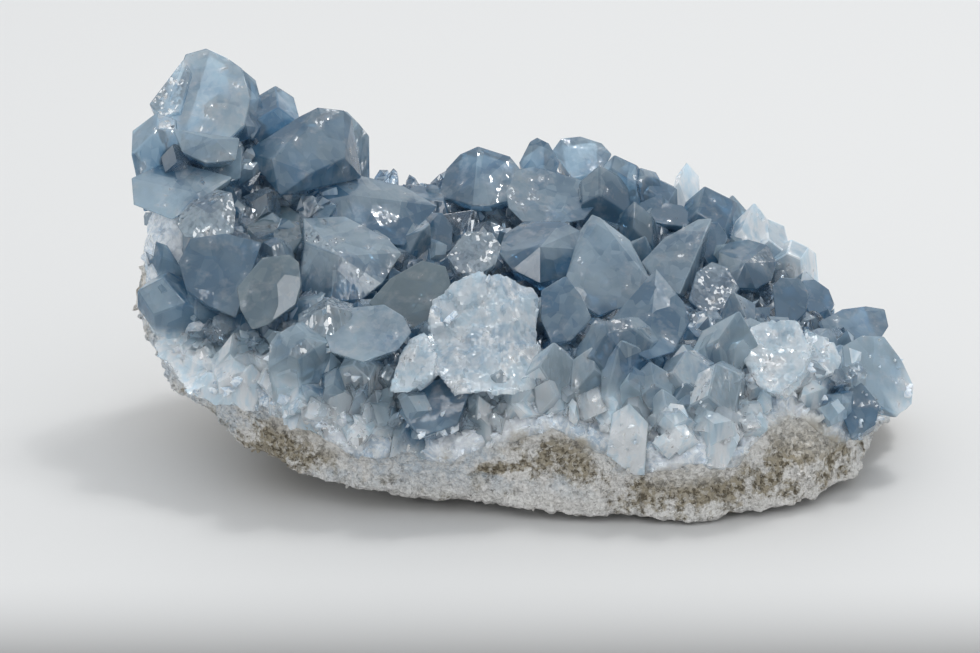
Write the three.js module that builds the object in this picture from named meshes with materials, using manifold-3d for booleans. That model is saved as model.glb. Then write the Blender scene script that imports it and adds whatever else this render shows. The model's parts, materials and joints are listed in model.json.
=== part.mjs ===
// A hand-size piece of a celestine geode wall: a curved shell of grey-beige rind, and on its hollow side
// a crust of pale blue crystals. The left end curls up into a tall horn, the back rim forms a hump, and
// the front is the broken edge that shows rind, sugary massive celestine and crystals, one on the other.
// Millimetres, +X to the right, +Y away from the viewer, +Z up, standing on Z = 0.
import * as THREE from "three";
import { ConvexGeometry } from "three/addons/geometries/ConvexGeometry.js";
import { mergeVertices } from "three/addons/utils/BufferGeometryUtils.js";
import Module from "manifold-3d";

const wasm = await Module();
wasm.setup();

// Driving dimensions
const HALF_LENGTH = 58;
const HALF_DEPTH = 33;
const MIDDLE = [0, 3];
const HOLLOW_FLOOR = 21;
const HOLLOW_CURVE = 1.7;
const RIND_THICKNESS = 5;
const UNDERSIDE_CURVE = 3.2;
const REST_TRIM = 0.9;
const SEAM_GAP = 0.3;
const LUMP_HEIGHT = 1.9;
const LUMP_SIZE = 8;
const SEAM_LUMP_HEIGHT = 1.2;
const SEAM_LUMP_SIZE = 6;
const CELESTINE_BLUE = 0x8ea9bd;
const RIND_BEIGE = 0xb3ada1;

// The whole piece is moved by this much at the end, so that its box stands centred on the origin
const TO_ORIGIN = [-0.05, -2.8, 0];

// How the piece is seen from the front: places of crystals are given as they appear from there, in
// pixels of a frame 980 wide and 653 high, whose centre looks at LOOK_AT from VIEW_DISTANCE away
const VIEW_DISTANCE = 550;
const VIEW_TILT = THREE.MathUtils.degToRad(20);
const PIXELS_PER_UNIT_SLOPE = 3608;
const FRAME_CENTRE = [490, 326.5];
const LOOK_AT = new THREE.Vector3(-4.6, 0, 18.9);
const DEEPEST_ROOT = 80;

// The crust is looked for along a line of sight this far before and behind VIEW_DISTANCE, in such steps
const SIGHT_MARGIN = 60;
const SIGHT_STEP = 0.25;

// How finely the shell is laid out: places round the rim, and rings at shares of the reach of the girth
const SEGMENTS = 40;
const CRUST_RINGS = [0, 0.3, 0.52, 0.7, 0.82, 0.91, 0.98, 1];
const UNDERSIDE_RINGS = [0.93, 0.78, 0.55, 0.3, 0];
const SEAM_RINGS = [1.25, 1, 0.88, 0.72, 0.5, 0.25, 0];
const ABOVE_ALL = 95;

const SEEN_RIGHT = new THREE.Vector3(1, 0, 0);
const SEEN_UP = new THREE.Vector3(0, Math.sin(VIEW_TILT), Math.cos(VIEW_TILT));
const SEEN_AWAY = new THREE.Vector3(0, Math.cos(VIEW_TILT), -Math.sin(VIEW_TILT));
const EYE = LOOK_AT.clone().addScaledVector(SEEN_AWAY, -VIEW_DISTANCE);

// The rim every 30 degrees, from the right end round by the back: how far out the crest of the crust
// stands and how high, how far out the widest girth is and how high, and the top edge of the bare rind.
// Reaches are shares of the half length and half depth, heights are millimetres.
const RIM = [
  { crest: 0.86, crestZ: 14, girth: 1.03, girthZ: 6.5, rindZ: 9 },
  { crest: 0.84, crestZ: 17, girth: 1.0, girthZ: 8, rindZ: 13 },
  { crest: 0.9, crestZ: 28, girth: 1.05, girthZ: 9, rindZ: 20 },
  { crest: 0.92, crestZ: 31, girth: 1.05, girthZ: 10, rindZ: 22 },
  { crest: 0.86, crestZ: 32, girth: 1.0, girthZ: 12, rindZ: 24 },
  { crest: 0.87, crestZ: 46, girth: 1.03, girthZ: 18, rindZ: 36 },
  { crest: 0.9, crestZ: 40, girth: 1.01, girthZ: 20, rindZ: 31 },
  { crest: 0.8, crestZ: 27, girth: 0.99, girthZ: 11.5, rindZ: 16 },
  { crest: 0.73, crestZ: 23, girth: 1.02, girthZ: 4.5, rindZ: 10 },
  { crest: 0.62, crestZ: 21, girth: 0.99, girthZ: 2.4, rindZ: 9 },
  { crest: 0.68, crestZ: 20, girth: 1.17, girthZ: 1.2, rindZ: 8 },
  { crest: 0.76, crestZ: 18, girth: 1.03, girthZ: 3.2, rindZ: 9 },
];

// Places where the rind climbs higher on the broken front: middle in X and Y, half width and rise
const RIND_CLIMBS = [
  { x: -36, y: -20, spread: 7, rise: 4 },
  { x: 5, y: -28, spread: 8, rise: 5 },
  { x: 37, y: -22, spread: 7, rise: 7 },
];

// Crystal habits: slopes of the end faces over the width and over the thickness (degrees from the
// axis), share of the point that is cut off flat, and how much of the prism's corners is left
const WEDGE = { side: 50, top: 68, blunt: 0, corner: 0.84 };
const POINT = { side: 56, top: 52, blunt: 0, corner: 0.78 };
const BLOCK = { side: 40, top: 50, blunt: 0.14, corner: 0.88 };
const ROUND = { side: 36, top: 34, blunt: 0.1, corner: 0.8 };
const CHISEL = { side: 48, top: 0, blunt: 0, corner: 0.95 };

// The large crystals, by their corners as seen: name, root, and for each corner its place in the frame
// and how many millimetres it stands in front of the root. The first three corners span the main face,
// and a corner without a distance lies in that face.
const BLOCKS = [
  // The horn at the left end
  ["crown", [208, 150], [
    [206, 48, -2], [168, 100, 2.5], [245, 125, 5],
    [185, 54], [228, 58], [242, 68], [251, 98], [222, 146], [190, 146], [172, 128],
  ]],
  ["crown brow", [180, 132], [
    [165, 86, 0], [184, 58, -2], [180, 112, 4], [192, 72], [162, 118], [149, 104],
  ]],
  ["crown foot", [210, 172], [
    [172, 128, 5], [240, 138, 5], [206, 163, 8], [214, 139, 6.5], [236, 160], [182, 152],
  ]],
  ["crown right", [254, 142], [
    [240, 67, 0], [256, 80, -1], [252, 140, 4], [266, 118, 0], [243, 112, 3],
  ]],
  ["steel prism", [300, 190], [
    [262, 139, 2], [318, 107, 0], [272, 160, 7], [300, 116], [244, 152],
    [344, 110, -1], [345, 158, 3], [310, 174, 7], [280, 196, 9], [362, 178, -2], [352, 118, -2],
  ]],
  ["left slab", [196, 204], [
    [131, 178, 1], [170, 160, -1], [233, 177, 3], [198, 193], [172, 220, 7], [133, 205, 4],
  ]],
  ["horn nook", [224, 192], [
    [222, 142, 0], [243, 147, 1], [241, 178, 4], [218, 185], [198, 172], [208, 158],
  ]],
  ["broken glint", [204, 238], [
    [185, 200, 1], [214, 188, 0], [204, 210, 5], [232, 192], [236, 211, 4], [176, 224, 4],
    [234, 233, 6], [214, 240, 7], [184, 237, 6],
  ]],
  ["smoky upper", [300, 232], [
    [238, 214, 5], [246, 203, 3], [300, 214, 2], [262, 198], [284, 203], [300, 226, 4],
    [262, 224, 6],
  ]],
  ["smoky lower", [302, 256], [
    [244, 226, 5], [262, 219, 3], [300, 221, 2], [303, 238, 4], [292, 254, 6], [270, 250, 7],
    [252, 242, 6],
  ]],
  ["deep facet", [220, 312], [
    [190, 238, 2], [262, 242, 3], [236, 318, 7], [226, 233], [178, 262], [186, 290], [206, 305],
    [248, 290],
  ]],
  ["olive clear", [276, 316], [
    [262, 257, 3], [299, 262, 3], [268, 325, 7], [290, 254], [302, 285], [296, 305], [252, 330],
    [240, 310], [236, 288],
  ]],
  ["low left round", [186, 394], [
    [152, 346, 4], [190, 328, 3], [186, 396, 10], [160, 330], [206, 342], [216, 366], [206, 388],
    [160, 386],
  ]],
  // The hollow
  ["long blade", [350, 218], [
    [318, 172, 0], [404, 186, -2], [350, 195, 4], [344, 171], [438, 206, 1], [312, 202, 6],
    [346, 240, 9], [404, 246, 6],
  ]],
  ["pale block", [345, 292], [
    [303, 218, 0], [388, 238, 1], [340, 256, 8], [345, 216], [402, 253, 4], [305, 242, 5],
    [382, 284, 8], [362, 300, 9], [330, 302, 9], [298, 290, 6],
  ]],
  ["deep corner", [430, 262], [
    [406, 214, 1], [442, 212, 0], [436, 258, 5], [453, 226], [452, 250], [412, 254], [394, 240],
  ]],
  ["olive smooth", [418, 334], [
    [368, 303, 4], [422, 260, 2], [424, 334, 8], [390, 278], [446, 266], [452, 286], [436, 312],
    [400, 325],
  ]],
  ["glint grey", [470, 292], [
    [466, 231, 0], [492, 232, 0], [476, 276, 6], [502, 246], [496, 264], [458, 272], [446, 256],
  ]],
  ["blue veined", [540, 296], [
    [504, 234, 0], [562, 221, -1], [540, 247, 6], [524, 221], [580, 230, 1], [498, 252, 4],
    [586, 250, 3], [570, 276, 6], [540, 284, 8], [512, 270, 7],
  ]],
  ["tall wedge", [606, 322], [
    [600, 217, 0], [642, 272, 4], [600, 316, 8], [636, 302], [572, 300], [566, 276],
    [580, 230, -1], [592, 214, -1], [630, 240, 0], [652, 284, 1],
  ]],
  ["flat blue", [562, 350], [
    [541, 290, 3], [566, 275, 2], [552, 344, 8], [582, 295], [592, 318], [572, 340], [541, 320],
  ]],
  ["dark point", [652, 362], [
    [656, 268, 0], [610, 320, 5], [648, 360, 10], [614, 342], [684, 302, 2], [690, 322, 4],
    [674, 352, 8],
  ]],
  ["broad pale", [680, 302], [
    [641, 262, 3], [698, 219, 0], [668, 290, 8], [664, 238], [712, 218], [704, 242], [692, 268],
    [680, 294], [655, 280],
  ]],
  ["broad pale side", [714, 278], [
    [706, 222, 1], [728, 236, 0], [710, 268, 4], [718, 221], [722, 256], [700, 250],
  ]],
  ["slate table", [674, 240], [
    [651, 209, 2], [683, 205, 0], [664, 224, 4], [659, 201], [692, 216], [688, 227], [646, 219],
  ]],
  ["grey block", [744, 300], [
    [718, 252, 3], [768, 245, 0], [745, 263, 6], [728, 242], [748, 239], [777, 262, 2],
    [772, 280, 4], [756, 290, 6], [734, 288, 7], [717, 274, 6],
  ]],
  ["veined small", [710, 318], [
    [696, 272, 2], [728, 267, 1], [706, 316, 7], [712, 261], [740, 288], [730, 306], [688, 300],
  ]],
  ["striated dark", [792, 336], [
    [772, 286, 3], [800, 278, 0], [790, 328, 7], [780, 277], [809, 292], [806, 312], [776, 322],
  ]],
  ["striated tail", [815, 328], [
    [802, 280, 0], [829, 289, -1], [812, 320, 5], [815, 279], [835, 304], [828, 316], [806, 306],
  ]],
  // The hump and the back rim
  ["hump", [482, 222], [
    [438, 196, 2], [478, 146, -1], [472, 206, 6], [446, 169], [460, 154], [510, 156, -1],
    [523, 172, 0], [517, 198, 3], [490, 206, 6],
  ]],
  ["back point", [536, 196], [
    [519, 162, 1], [537, 137, -1], [540, 184, 4], [530, 141], [549, 143], [560, 162], [554, 180],
    [528, 180],
  ]],
  ["back pale", [580, 194], [
    [552, 150, 0], [580, 136, -2], [572, 178, 3], [561, 138], [602, 143], [612, 154], [602, 172],
  ]],
  ["back broad", [560, 230], [
    [504, 188, 2], [562, 174, 0], [560, 224, 7], [514, 170], [534, 166], [590, 182], [598, 202],
    [584, 220], [522, 222], [508, 208],
  ]],
  // The right end
  ["milk boulder", [782, 402], [
    [740, 352, 4], [768, 317, 1], [780, 396, 9], [750, 324], [798, 319], [815, 340], [808, 372],
    [756, 386],
  ]],
  ["milk boulder side", [822, 392], [
    [802, 324, 2], [832, 334, 0], [816, 380, 6], [843, 360], [836, 374], [806, 350],
  ]],
  ["right roof", [850, 352], [
    [818, 322, 4], [885, 309, -1], [852, 344, 6], [842, 309], [866, 306], [889, 326], [880, 340],
    [826, 342],
  ]],
  ["right mass", [866, 414], [
    [842, 346, 5], [884, 336, 0], [872, 402, 6], [862, 335], [902, 360], [914, 386], [912, 404],
    [898, 418], [846, 384],
  ]],
  ["right deep facet", [862, 442], [
    [838, 406, 7], [860, 380, 5], [852, 440, 9], [846, 386], [880, 404], [876, 424],
  ]],
  // The broken front
  ["white cleft", [484, 360], [
    [430, 300, 3], [502, 270, 0], [486, 394, 10.5], [455, 281], [478, 271], [536, 285, -1], [541, 296, -1],
    [541, 386, 7], [518, 397, 10], [458, 394], [436, 372], [426, 320],
  ]],
  ["white wing", [412, 404], [
    [388, 393, 8], [424, 332, 3], [410, 394, 9], [390, 372], [404, 345], [440, 350], [434, 374],
  ]],
  ["front broad", [368, 364], [
    [322, 326, 4], [384, 304, 1], [362, 362, 9], [352, 307], [404, 316], [412, 332], [398, 350],
    [330, 352],
  ]],
  ["crevice facet", [440, 442], [
    [420, 418, 4], [448, 402, 3], [436, 432, 6], [430, 404], [457, 414], [446, 430],
  ]],
];

// The far side of a large crystal: every other seen corner drawn in towards their middle to this share, and
// set back by a share of their mean distance from it. Its roots lie deeper and to both sides by shares
// of the same distance, and so does its girth.
const FAR_SIDE = { drawn: 0.72, depth: 0.85, rootDepth: 0.7, rootSpread: 0.45, girth: 1.5 };

// The other crystals that can be told apart. Each is seen from its root to its tip, leans towards the viewer
// by some degrees, is so many millimetres wide, has a thickness that is a share of the width, and is
// turned about its own axis by some degrees.
const CRYSTALS = [
  // The horn at the left end
  ["crown tooth", [250, 104], [246, 64], 5, 3.6, 0.8, 30, WEDGE],
  ["crown side", [272, 140], [274, 86], 8, 7.5, 0.8, 65, BLOCK],
  ["crown back ridge", [302, 140], [303, 98], 5, 6, 0.8, 20, ROUND],
  ["crown left lump", [165, 150], [153, 94], 15, 7, 0.9, 40, ROUND],
  ["steel prism flank", [344, 190], [350, 111], 5, 5, 0.9, 15, BLOCK],
  ["cliff chip", [214, 308], [188, 284], 32, 4.2, 0.8, 30, POINT],
  ["cliff pale chip", [174, 282], [157, 242], 24, 3.6, 0.8, 60, WEDGE],
  ["cliff low chip", [188, 314], [142, 290], 30, 6, 0.8, 20, BLOCK],
  ["cliff edge chip", [160, 322], [140, 312], 15, 5, 0.8, 55, ROUND],
  // The hollow
  ["dark base", [616, 372], [618, 322], 48, 9, 0.85, 15, BLOCK],
  ["slate chip", [640, 258], [633, 203], 30, 5.6, 0.85, 30, POINT],
  ["slate chip low", [632, 276], [648, 236], 34, 5, 0.85, 10, WEDGE],
  ["pale roof", [720, 374], [740, 309], 34, 8.4, 0.8, 35, WEDGE],
  // The hump and the back rim
  ["hump pit a", [490, 216], [481, 189], 20, 3.4, 0.8, 20, POINT],
  ["hump pit b", [504, 216], [496, 186], 18, 3.6, 0.8, 50, WEDGE],
  ["back smoky", [600, 222], [603, 166], 24, 7.4, 0.85, 55, BLOCK],
  ["ridge a", [626, 210], [618, 154], 14, 6, 0.8, 30, BLOCK],
  ["ridge b", [646, 208], [640, 168], 14, 5.4, 0.8, 55, ROUND],
  ["ridge c", [664, 214], [658, 177], 14, 4.8, 0.8, 15, BLOCK],
  ["white tooth", [686, 214], [688, 163], 6, 4, 0.75, 40, WEDGE],
  ["rim slab", [710, 236], [706, 187], 16, 7.6, 0.8, 25, BLOCK],
  ["rim facet", [728, 236], [731, 194], 14, 5.4, 0.8, 48, WEDGE],
  ["rim pale a", [747, 256], [748, 202], 14, 6, 0.8, 28, WEDGE],
  ["rim pale b", [772, 268], [764, 217], 12, 6, 0.8, 50, BLOCK],
  ["rim pale c", [792, 288], [791, 240], 12, 6, 0.8, 22, ROUND],
  ["far saddle", [424, 214], [414, 181], 0, 8, 0.8, 40, ROUND],
  // The right end
  ["right end low", [878, 452], [902, 420], 18, 7, 0.85, 50, ROUND],
  ["right foot", [864, 474], [868, 440], 36, 5.6, 0.85, 45, WEDGE],
  // The broken front
  ["front glint", [326, 344], [328, 303], 50, 7.6, 0.8, 55, BLOCK],
  ["front pale", [306, 384], [300, 330], 46, 8.6, 0.8, 35, ROUND],
  ["low left foot", [218, 424], [206, 376], 40, 7.2, 0.85, 55, ROUND],
  ["small white a", [236, 380], [235, 330], 25, 5, 0.8, 35, WEDGE],
  ["small white b", [247, 416], [248, 364], 34, 5.6, 0.85, 15, BLOCK],
  ["small white c", [286, 394], [284, 343], 36, 5.2, 0.8, 50, POINT],
  ["small white d", [332, 392], [330, 353], 30, 3.8, 0.85, 30, POINT],
  ["small grey e", [362, 392], [362, 352], 34, 5.6, 0.85, 20, ROUND],
  ["small grey f", [306, 414], [298, 376], 38, 5.2, 0.85, 40, BLOCK],
  ["small grey g", [346, 416], [338, 384], 38, 5.4, 0.85, 10, WEDGE],
  ["crevice side", [408, 446], [412, 404], 34, 4.8, 0.85, 50, WEDGE],
  ["cleft foot", [480, 428], [478, 394], 34, 4.4, 0.85, 30, POINT],
  ["frosted a", [552, 396], [553, 342], 30, 5.8, 0.8, 25, WEDGE],
  ["frosted b", [584, 394], [590, 346], 30, 5.2, 0.8, 60, POINT],
  ["white edged", [632, 404], [618, 343], 30, 6.6, 0.8, 30, WEDGE],
  ["white edged low", [656, 406], [652, 362], 34, 4.8, 0.85, 50, POINT],
  ["front white a", [688, 396], [686, 351], 34, 5.8, 0.8, 20, BLOCK],
  ["front white b", [668, 420], [664, 386], 36, 4.2, 0.85, 45, POINT],
  ["front white c", [716, 412], [713, 365], 36, 6.2, 0.85, 30, BLOCK],
  ["front deep", [692, 416], [690, 381], 34, 4.6, 0.85, 15, WEDGE],
  ["front low grey", [628, 448], [630, 402], 36, 5.6, 0.85, 40, POINT],
];

// How a crystal departs from a plain prism: the slope of its four main side faces, how fast it tapers,
// and how far its faces and its tip stray at random. No crystal up to SLIM_CRYSTAL wide has the flat
// faces over its thickness or a blunt end. ROOTED is the share of the width that is sunk in the crust.
const MAIN_SLOPE = 48;
const TAPER = { main: 0.05, flat: 0.04 };
const STRAY = { face: 0.09, skew: 0.2, main: 10, end: 12, tip: 0.3 };
const SLIM_CRYSTAL = 8.2;
const ROOTED = 0.7;

// Small crystals that fill the ground between: how many places are tried, how long and how slim they
// are, how far they lean at random and rise, how near to a listed crystal and to the seam they may
// stand, and the bearing's sine beyond which the outer wall stays bare
const FILLERS = {
  tries: 84,
  firstSeed: 500,
  shortest: 3.4,
  longest: 7.5,
  slimness: 0.68,
  thickness: 0.85,
  rooted: 0.6,
  leaning: 1.1,
  rising: 0.8,
  clearance: 0.5,
  aboveSeam: 1.5,
  bareWall: -0.35,
};

// Numbers that scatter a sine into values without a pattern
const SCATTER = { scale: 43758.5453, first: 12.9898, second: 78.233, third: 37.719 };

const wave = (n) => {
  const x = Math.sin(n) * SCATTER.scale;
  return x - Math.floor(x);
};

const chance = (index, salt) => wave(index * SCATTER.first + salt * SCATTER.second);

// Smooth noise between -1 and 1, one lump for each unit of space
function lumps(x, y, z) {
  const cell = [x, y, z].map(Math.floor);
  const part = [x, y, z].map((v, i) => v - cell[i]).map((t) => t * t * (3 - 2 * t));
  let sum = 0;
  for (let corner = 0; corner < 8; corner += 1) {
    const step = [corner & 1, (corner >> 1) & 1, corner >> 2];
    const weight = step.reduce((w, s, i) => w * (s ? part[i] : 1 - part[i]), 1);
    const at = cell.map((c, i) => c + step[i]);
    sum += weight * wave(at[0] * SCATTER.first + at[1] * SCATTER.second + at[2] * SCATTER.third);
  }
  return 2 * sum - 1;
}

// One value of the rim at a bearing, with a smooth curve through the rows of RIM
function rimAt(bearing, key) {
  const place = ((bearing / (2 * Math.PI)) * RIM.length + RIM.length) % RIM.length;
  const row = Math.floor(place);
  const t = place - row;
  const [a, b, c, d] = [-1, 0, 1, 2].map((k) => RIM[(row + k + RIM.length) % RIM.length][key]);
  return b + 0.5 * t * (c - a + t * (2 * a - 5 * b + 4 * c - d + t * (3 * (b - c) + d - a)));
}

const bearingAndReach = (x, y) => {
  const u = (x - MIDDLE[0]) / HALF_LENGTH;
  const v = (y - MIDDLE[1]) / HALF_DEPTH;
  return [Math.atan2(v, u), Math.hypot(u, v)];
};

const planPoint = (bearing, reach) => [
  MIDDLE[0] + HALF_LENGTH * reach * Math.cos(bearing),
  MIDDLE[1] + HALF_DEPTH * reach * Math.sin(bearing),
];

// Height of the crust's upper surface: a hollow that climbs to the crest, then the outer wall
function crustHeight(bearing, reach) {
  const crest = rimAt(bearing, "crest");
  const crestZ = rimAt(bearing, "crestZ");
  if (reach <= crest) {
    return HOLLOW_FLOOR + (crestZ - HOLLOW_FLOOR) * (reach / crest) ** HOLLOW_CURVE;
  }
  const girthZ = rimAt(bearing, "girthZ");
  const out = Math.min(1, (reach - crest) / (rimAt(bearing, "girth") - crest));
  return girthZ + (crestZ - girthZ) * Math.sqrt(1 - out * out);
}

// Height of the underside: it stands flat under the middle and lifts towards the rim
function undersideHeight(bearing, reach) {
  const out = reach / rimAt(bearing, "girth");
  return Math.max(0, (rimAt(bearing, "girthZ") + REST_TRIM) * out ** UNDERSIDE_CURVE - REST_TRIM);
}

// Height of the seam where the rind ends and the celestine starts. Past the girth it rises little more.
function seamHeight(bearing, reach) {
  const out = reach / rimAt(bearing, "girth");
  const [x, y] = planPoint(bearing, reach);
  const lump = SEAM_LUMP_HEIGHT * lumps(x / SEAM_LUMP_SIZE, y / SEAM_LUMP_SIZE, 3.5);
  const climb = RIND_CLIMBS.reduce((sum, c) => {
    const away = ((x - c.x) ** 2 + (y - c.y) ** 2) / c.spread ** 2;
    return sum + c.rise * Math.exp(-away);
  }, 0);
  const edge = rimAt(bearing, "rindZ") - rimAt(bearing, "girthZ") - RIND_THICKNESS;
  const under = rimAt(bearing, "girthZ") * Math.min(out, 1.2) ** UNDERSIDE_CURVE;
  return under + RIND_THICKNESS + edge * Math.min(out, 1.1) ** 4 + climb + lump;
}

// A closed solid laid out in rings round the middle, from the top middle out to the rim and back below.
// Each ring lies at a share of the reach of the girth, at the height that its own rule gives.
function ringSolid(rings, shape) {
  const corners = [];
  const faces = [];
  const starts = [];
  for (const { share, height } of rings) {
    starts.push(corners.length);
    for (let i = 0; i < (share === 0 ? 1 : SEGMENTS); i += 1) {
      const bearing = (i / SEGMENTS) * 2 * Math.PI;
      const reach = rimAt(bearing, "girth") * share;
      corners.push(shape(...planPoint(bearing, reach), height(bearing, reach)));
    }
  }
  const at = (ring, i) => starts[ring] + (rings[ring].share === 0 ? 0 : i % SEGMENTS);
  for (let ring = 0; ring + 1 < rings.length; ring += 1) {
    for (let i = 0; i < SEGMENTS; i += 1) {
      if (rings[ring].share > 0) {
        faces.push([at(ring, i), at(ring + 1, i), at(ring, i + 1)]);
      }
      if (rings[ring + 1].share > 0) {
        faces.push([at(ring, i + 1), at(ring + 1, i), at(ring + 1, i + 1)]);
      }
    }
  }
  return solidFrom(corners.flat(), faces.flat());
}

function solidFrom(positions, indices) {
  return new wasm.Manifold(new wasm.Mesh({
    numProp: 3,
    vertProperties: new Float32Array(positions),
    triVerts: new Uint32Array(indices),
  }));
}

// Where a line of sight through a pixel first meets the crust
function sightDirection([px, py]) {
  return SEEN_AWAY.clone()
    .addScaledVector(SEEN_RIGHT, (px - FRAME_CENTRE[0]) / PIXELS_PER_UNIT_SLOPE)
    .addScaledVector(SEEN_UP, (FRAME_CENTRE[1] - py) / PIXELS_PER_UNIT_SLOPE);
}

// A root that would pass above the rim is looked for lower down, because it stands behind the rim
function rootOnCrust([px, py]) {
  for (let lower = 0; lower < DEEPEST_ROOT; lower += 1) {
    const along = sightDirection([px, py + lower]);
    for (let ahead = -SIGHT_MARGIN; ahead < SIGHT_MARGIN; ahead += SIGHT_STEP) {
      const point = EYE.clone().addScaledVector(along, VIEW_DISTANCE + ahead);
      const [bearing, reach] = bearingAndReach(point.x, point.y);
      if (reach < rimAt(bearing, "girth") && point.z < crustHeight(bearing, reach)) {
        return point;
      }
    }
  }
  throw new Error(`no crust below pixel ${px}, ${py}`);
}

// The corners of a crystal: the points where three of its flat faces meet and that lie inside the rest
function crystalCorners(long, wide, thick, buried, habit, seed) {
  const toRad = THREE.MathUtils.degToRad;
  const wobble = (salt, size) => (chance(seed, salt) - 0.5) * size;
  const planes = [];
  const addFace = (a, b, c, through) => {
    const normal = new THREE.Vector3(a + wobble(planes.length + 20, STRAY.face), b, c).normalize();
    planes.push({ normal, reach: normal.dot(through) });
  };
  const ridge = toRad(MAIN_SLOPE + wobble(1, STRAY.main));
  const tip = new THREE.Vector3(long, wobble(2, STRAY.tip) * wide, wobble(3, STRAY.tip) * thick);
  const corner = (b, c) => new THREE.Vector3(0, b * wide, c * thick).multiplyScalar(0.5 * habit.corner);
  for (const b of [-1, 1]) {
    for (const c of [-1, 1]) {
      addFace(TAPER.main, b * Math.cos(ridge), c * Math.sin(ridge), corner(b, c));
    }
    const side = toRad(habit.side + wobble(4 + b, STRAY.end));
    addFace(Math.cos(side), b * Math.sin(side), wobble(12 + b, STRAY.skew), tip);
    if (wide > SLIM_CRYSTAL) {
      addFace(TAPER.flat, 0, b, new THREE.Vector3(0, 0, (b * thick) / 2));
    }
    if (habit.top) {
      const top = toRad(habit.top + wobble(8 + b, STRAY.end));
      addFace(Math.cos(top), wobble(16 + b, STRAY.skew), b * Math.sin(top), tip);
    }
  }
  if (habit.blunt && wide > SLIM_CRYSTAL) {
    addFace(1, 0, 0, new THREE.Vector3(long * (1 - habit.blunt), 0, 0));
  }
  addFace(-1, 0, 0, new THREE.Vector3(-buried, 0, 0));
  return meetingPoints(planes);
}

function meetingPoints(planes) {
  const points = [];
  const count = planes.length;
  for (let i = 0; i < count; i += 1) {
    for (let j = i + 1; j < count; j += 1) {
      const line = new THREE.Vector3().crossVectors(planes[i].normal, planes[j].normal);
      for (let k = j + 1; k < count; k += 1) {
        const spread = line.dot(planes[k].normal);
        if (Math.abs(spread) > 1e-6) {
          const point = line.clone().multiplyScalar(planes[k].reach)
            .add(new THREE.Vector3().crossVectors(planes[j].normal, planes[k].normal)
              .multiplyScalar(planes[i].reach))
            .add(new THREE.Vector3().crossVectors(planes[k].normal, planes[i].normal)
              .multiplyScalar(planes[j].reach))
            .divideScalar(spread);
          if (planes.every((plane) => plane.normal.dot(point) < plane.reach + 1e-6)) {
            points.push(point);
          }
        }
      }
    }
  }
  return points;
}

// A crystal as a closed solid, standing at its root along its axis
function crystalSolid({ root, axis, crosswise, long, wide, thick, buried, habit, seed }) {
  const across = crosswise.clone().addScaledVector(axis, -crosswise.dot(axis)).normalize();
  const frame = new THREE.Matrix4().makeBasis(axis, across, new THREE.Vector3().crossVectors(axis, across));
  frame.setPosition(root);
  const corners = crystalCorners(long, wide, thick, buried, habit, seed);
  return hullSolid(corners.map((p) => p.applyMatrix4(frame)));
}

function hullSolid(corners) {
  const hull = new ConvexGeometry(corners);
  hull.deleteAttribute("normal");
  const merged = mergeVertices(hull, 1e-4);
  return solidFrom(merged.attributes.position.array, merged.index.array);
}

// How a crystal of the list stands in space
function seenStem([, rootSeen, tipSeen, lean, wide, thickness, turn, habit], seed) {
  const root = rootOnCrust(rootSeen);
  const far = root.clone().sub(EYE).dot(SEEN_AWAY);
  const inPlane = sightDirection(tipSeen).sub(sightDirection(rootSeen)).multiplyScalar(far);
  const towards = inPlane.length() * Math.tan(THREE.MathUtils.degToRad(lean));
  const whole = inPlane.addScaledVector(SEEN_AWAY, -towards);
  const axis = whole.clone().normalize();
  const crosswise = new THREE.Vector3().crossVectors(axis, SEEN_AWAY)
    .applyAxisAngle(axis, THREE.MathUtils.degToRad(turn));
  const long = whole.length();
  const thick = wide * thickness;
  return { root, axis, crosswise, long, wide, thick, buried: wide * ROOTED, habit, seed };
}

// How far in front of its root a corner is: as given, or on the face that the first three corners span
function towards(seen, [px, py, given]) {
  if (given !== undefined) {
    return given;
  }
  const [[x0, y0, near0], [x1, y1, near1], [x2, y2, near2]] = seen;
  const whole = (x1 - x0) * (y2 - y0) - (x2 - x0) * (y1 - y0);
  const share1 = ((px - x0) * (y2 - y0) - (x2 - x0) * (py - y0)) / whole;
  const share2 = ((x1 - x0) * (py - y0) - (px - x0) * (y1 - y0)) / whole;
  return near0 + share1 * (near1 - near0) + share2 * (near2 - near0);
}

// A large crystal: its corners, with a root, an axis and a girth like those of the others
function blockStem([, rootSeen, seen]) {
  const root = rootOnCrust(rootSeen);
  const far = root.clone().sub(EYE).dot(SEEN_AWAY);
  const front = seen.map((corner) => {
    return EYE.clone().addScaledVector(sightDirection(corner), far - towards(seen, corner));
  });
  const middle = front.reduce((sum, p) => sum.add(p), new THREE.Vector3()).divideScalar(front.length);
  const spread = front.reduce((sum, p) => sum + p.distanceTo(middle), 0) / front.length;
  const back = front.filter((_, i) => i % 2 === 0).map((p) => {
    return middle.clone().lerp(p, FAR_SIDE.drawn).addScaledVector(SEEN_AWAY, spread * FAR_SIDE.depth);
  });
  const deep = root.clone().addScaledVector(SEEN_AWAY, spread * FAR_SIDE.rootDepth);
  const feet = [-1, 1].map((side) => {
    return deep.clone().addScaledVector(SEEN_RIGHT, side * spread * FAR_SIDE.rootSpread);
  });
  const axis = middle.clone().sub(root).normalize();
  const long = Math.max(...front.map((p) => p.clone().sub(root).dot(axis)));
  return { corners: [...front, ...back, ...feet], root, axis, long, wide: spread * FAR_SIDE.girth };
}

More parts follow.
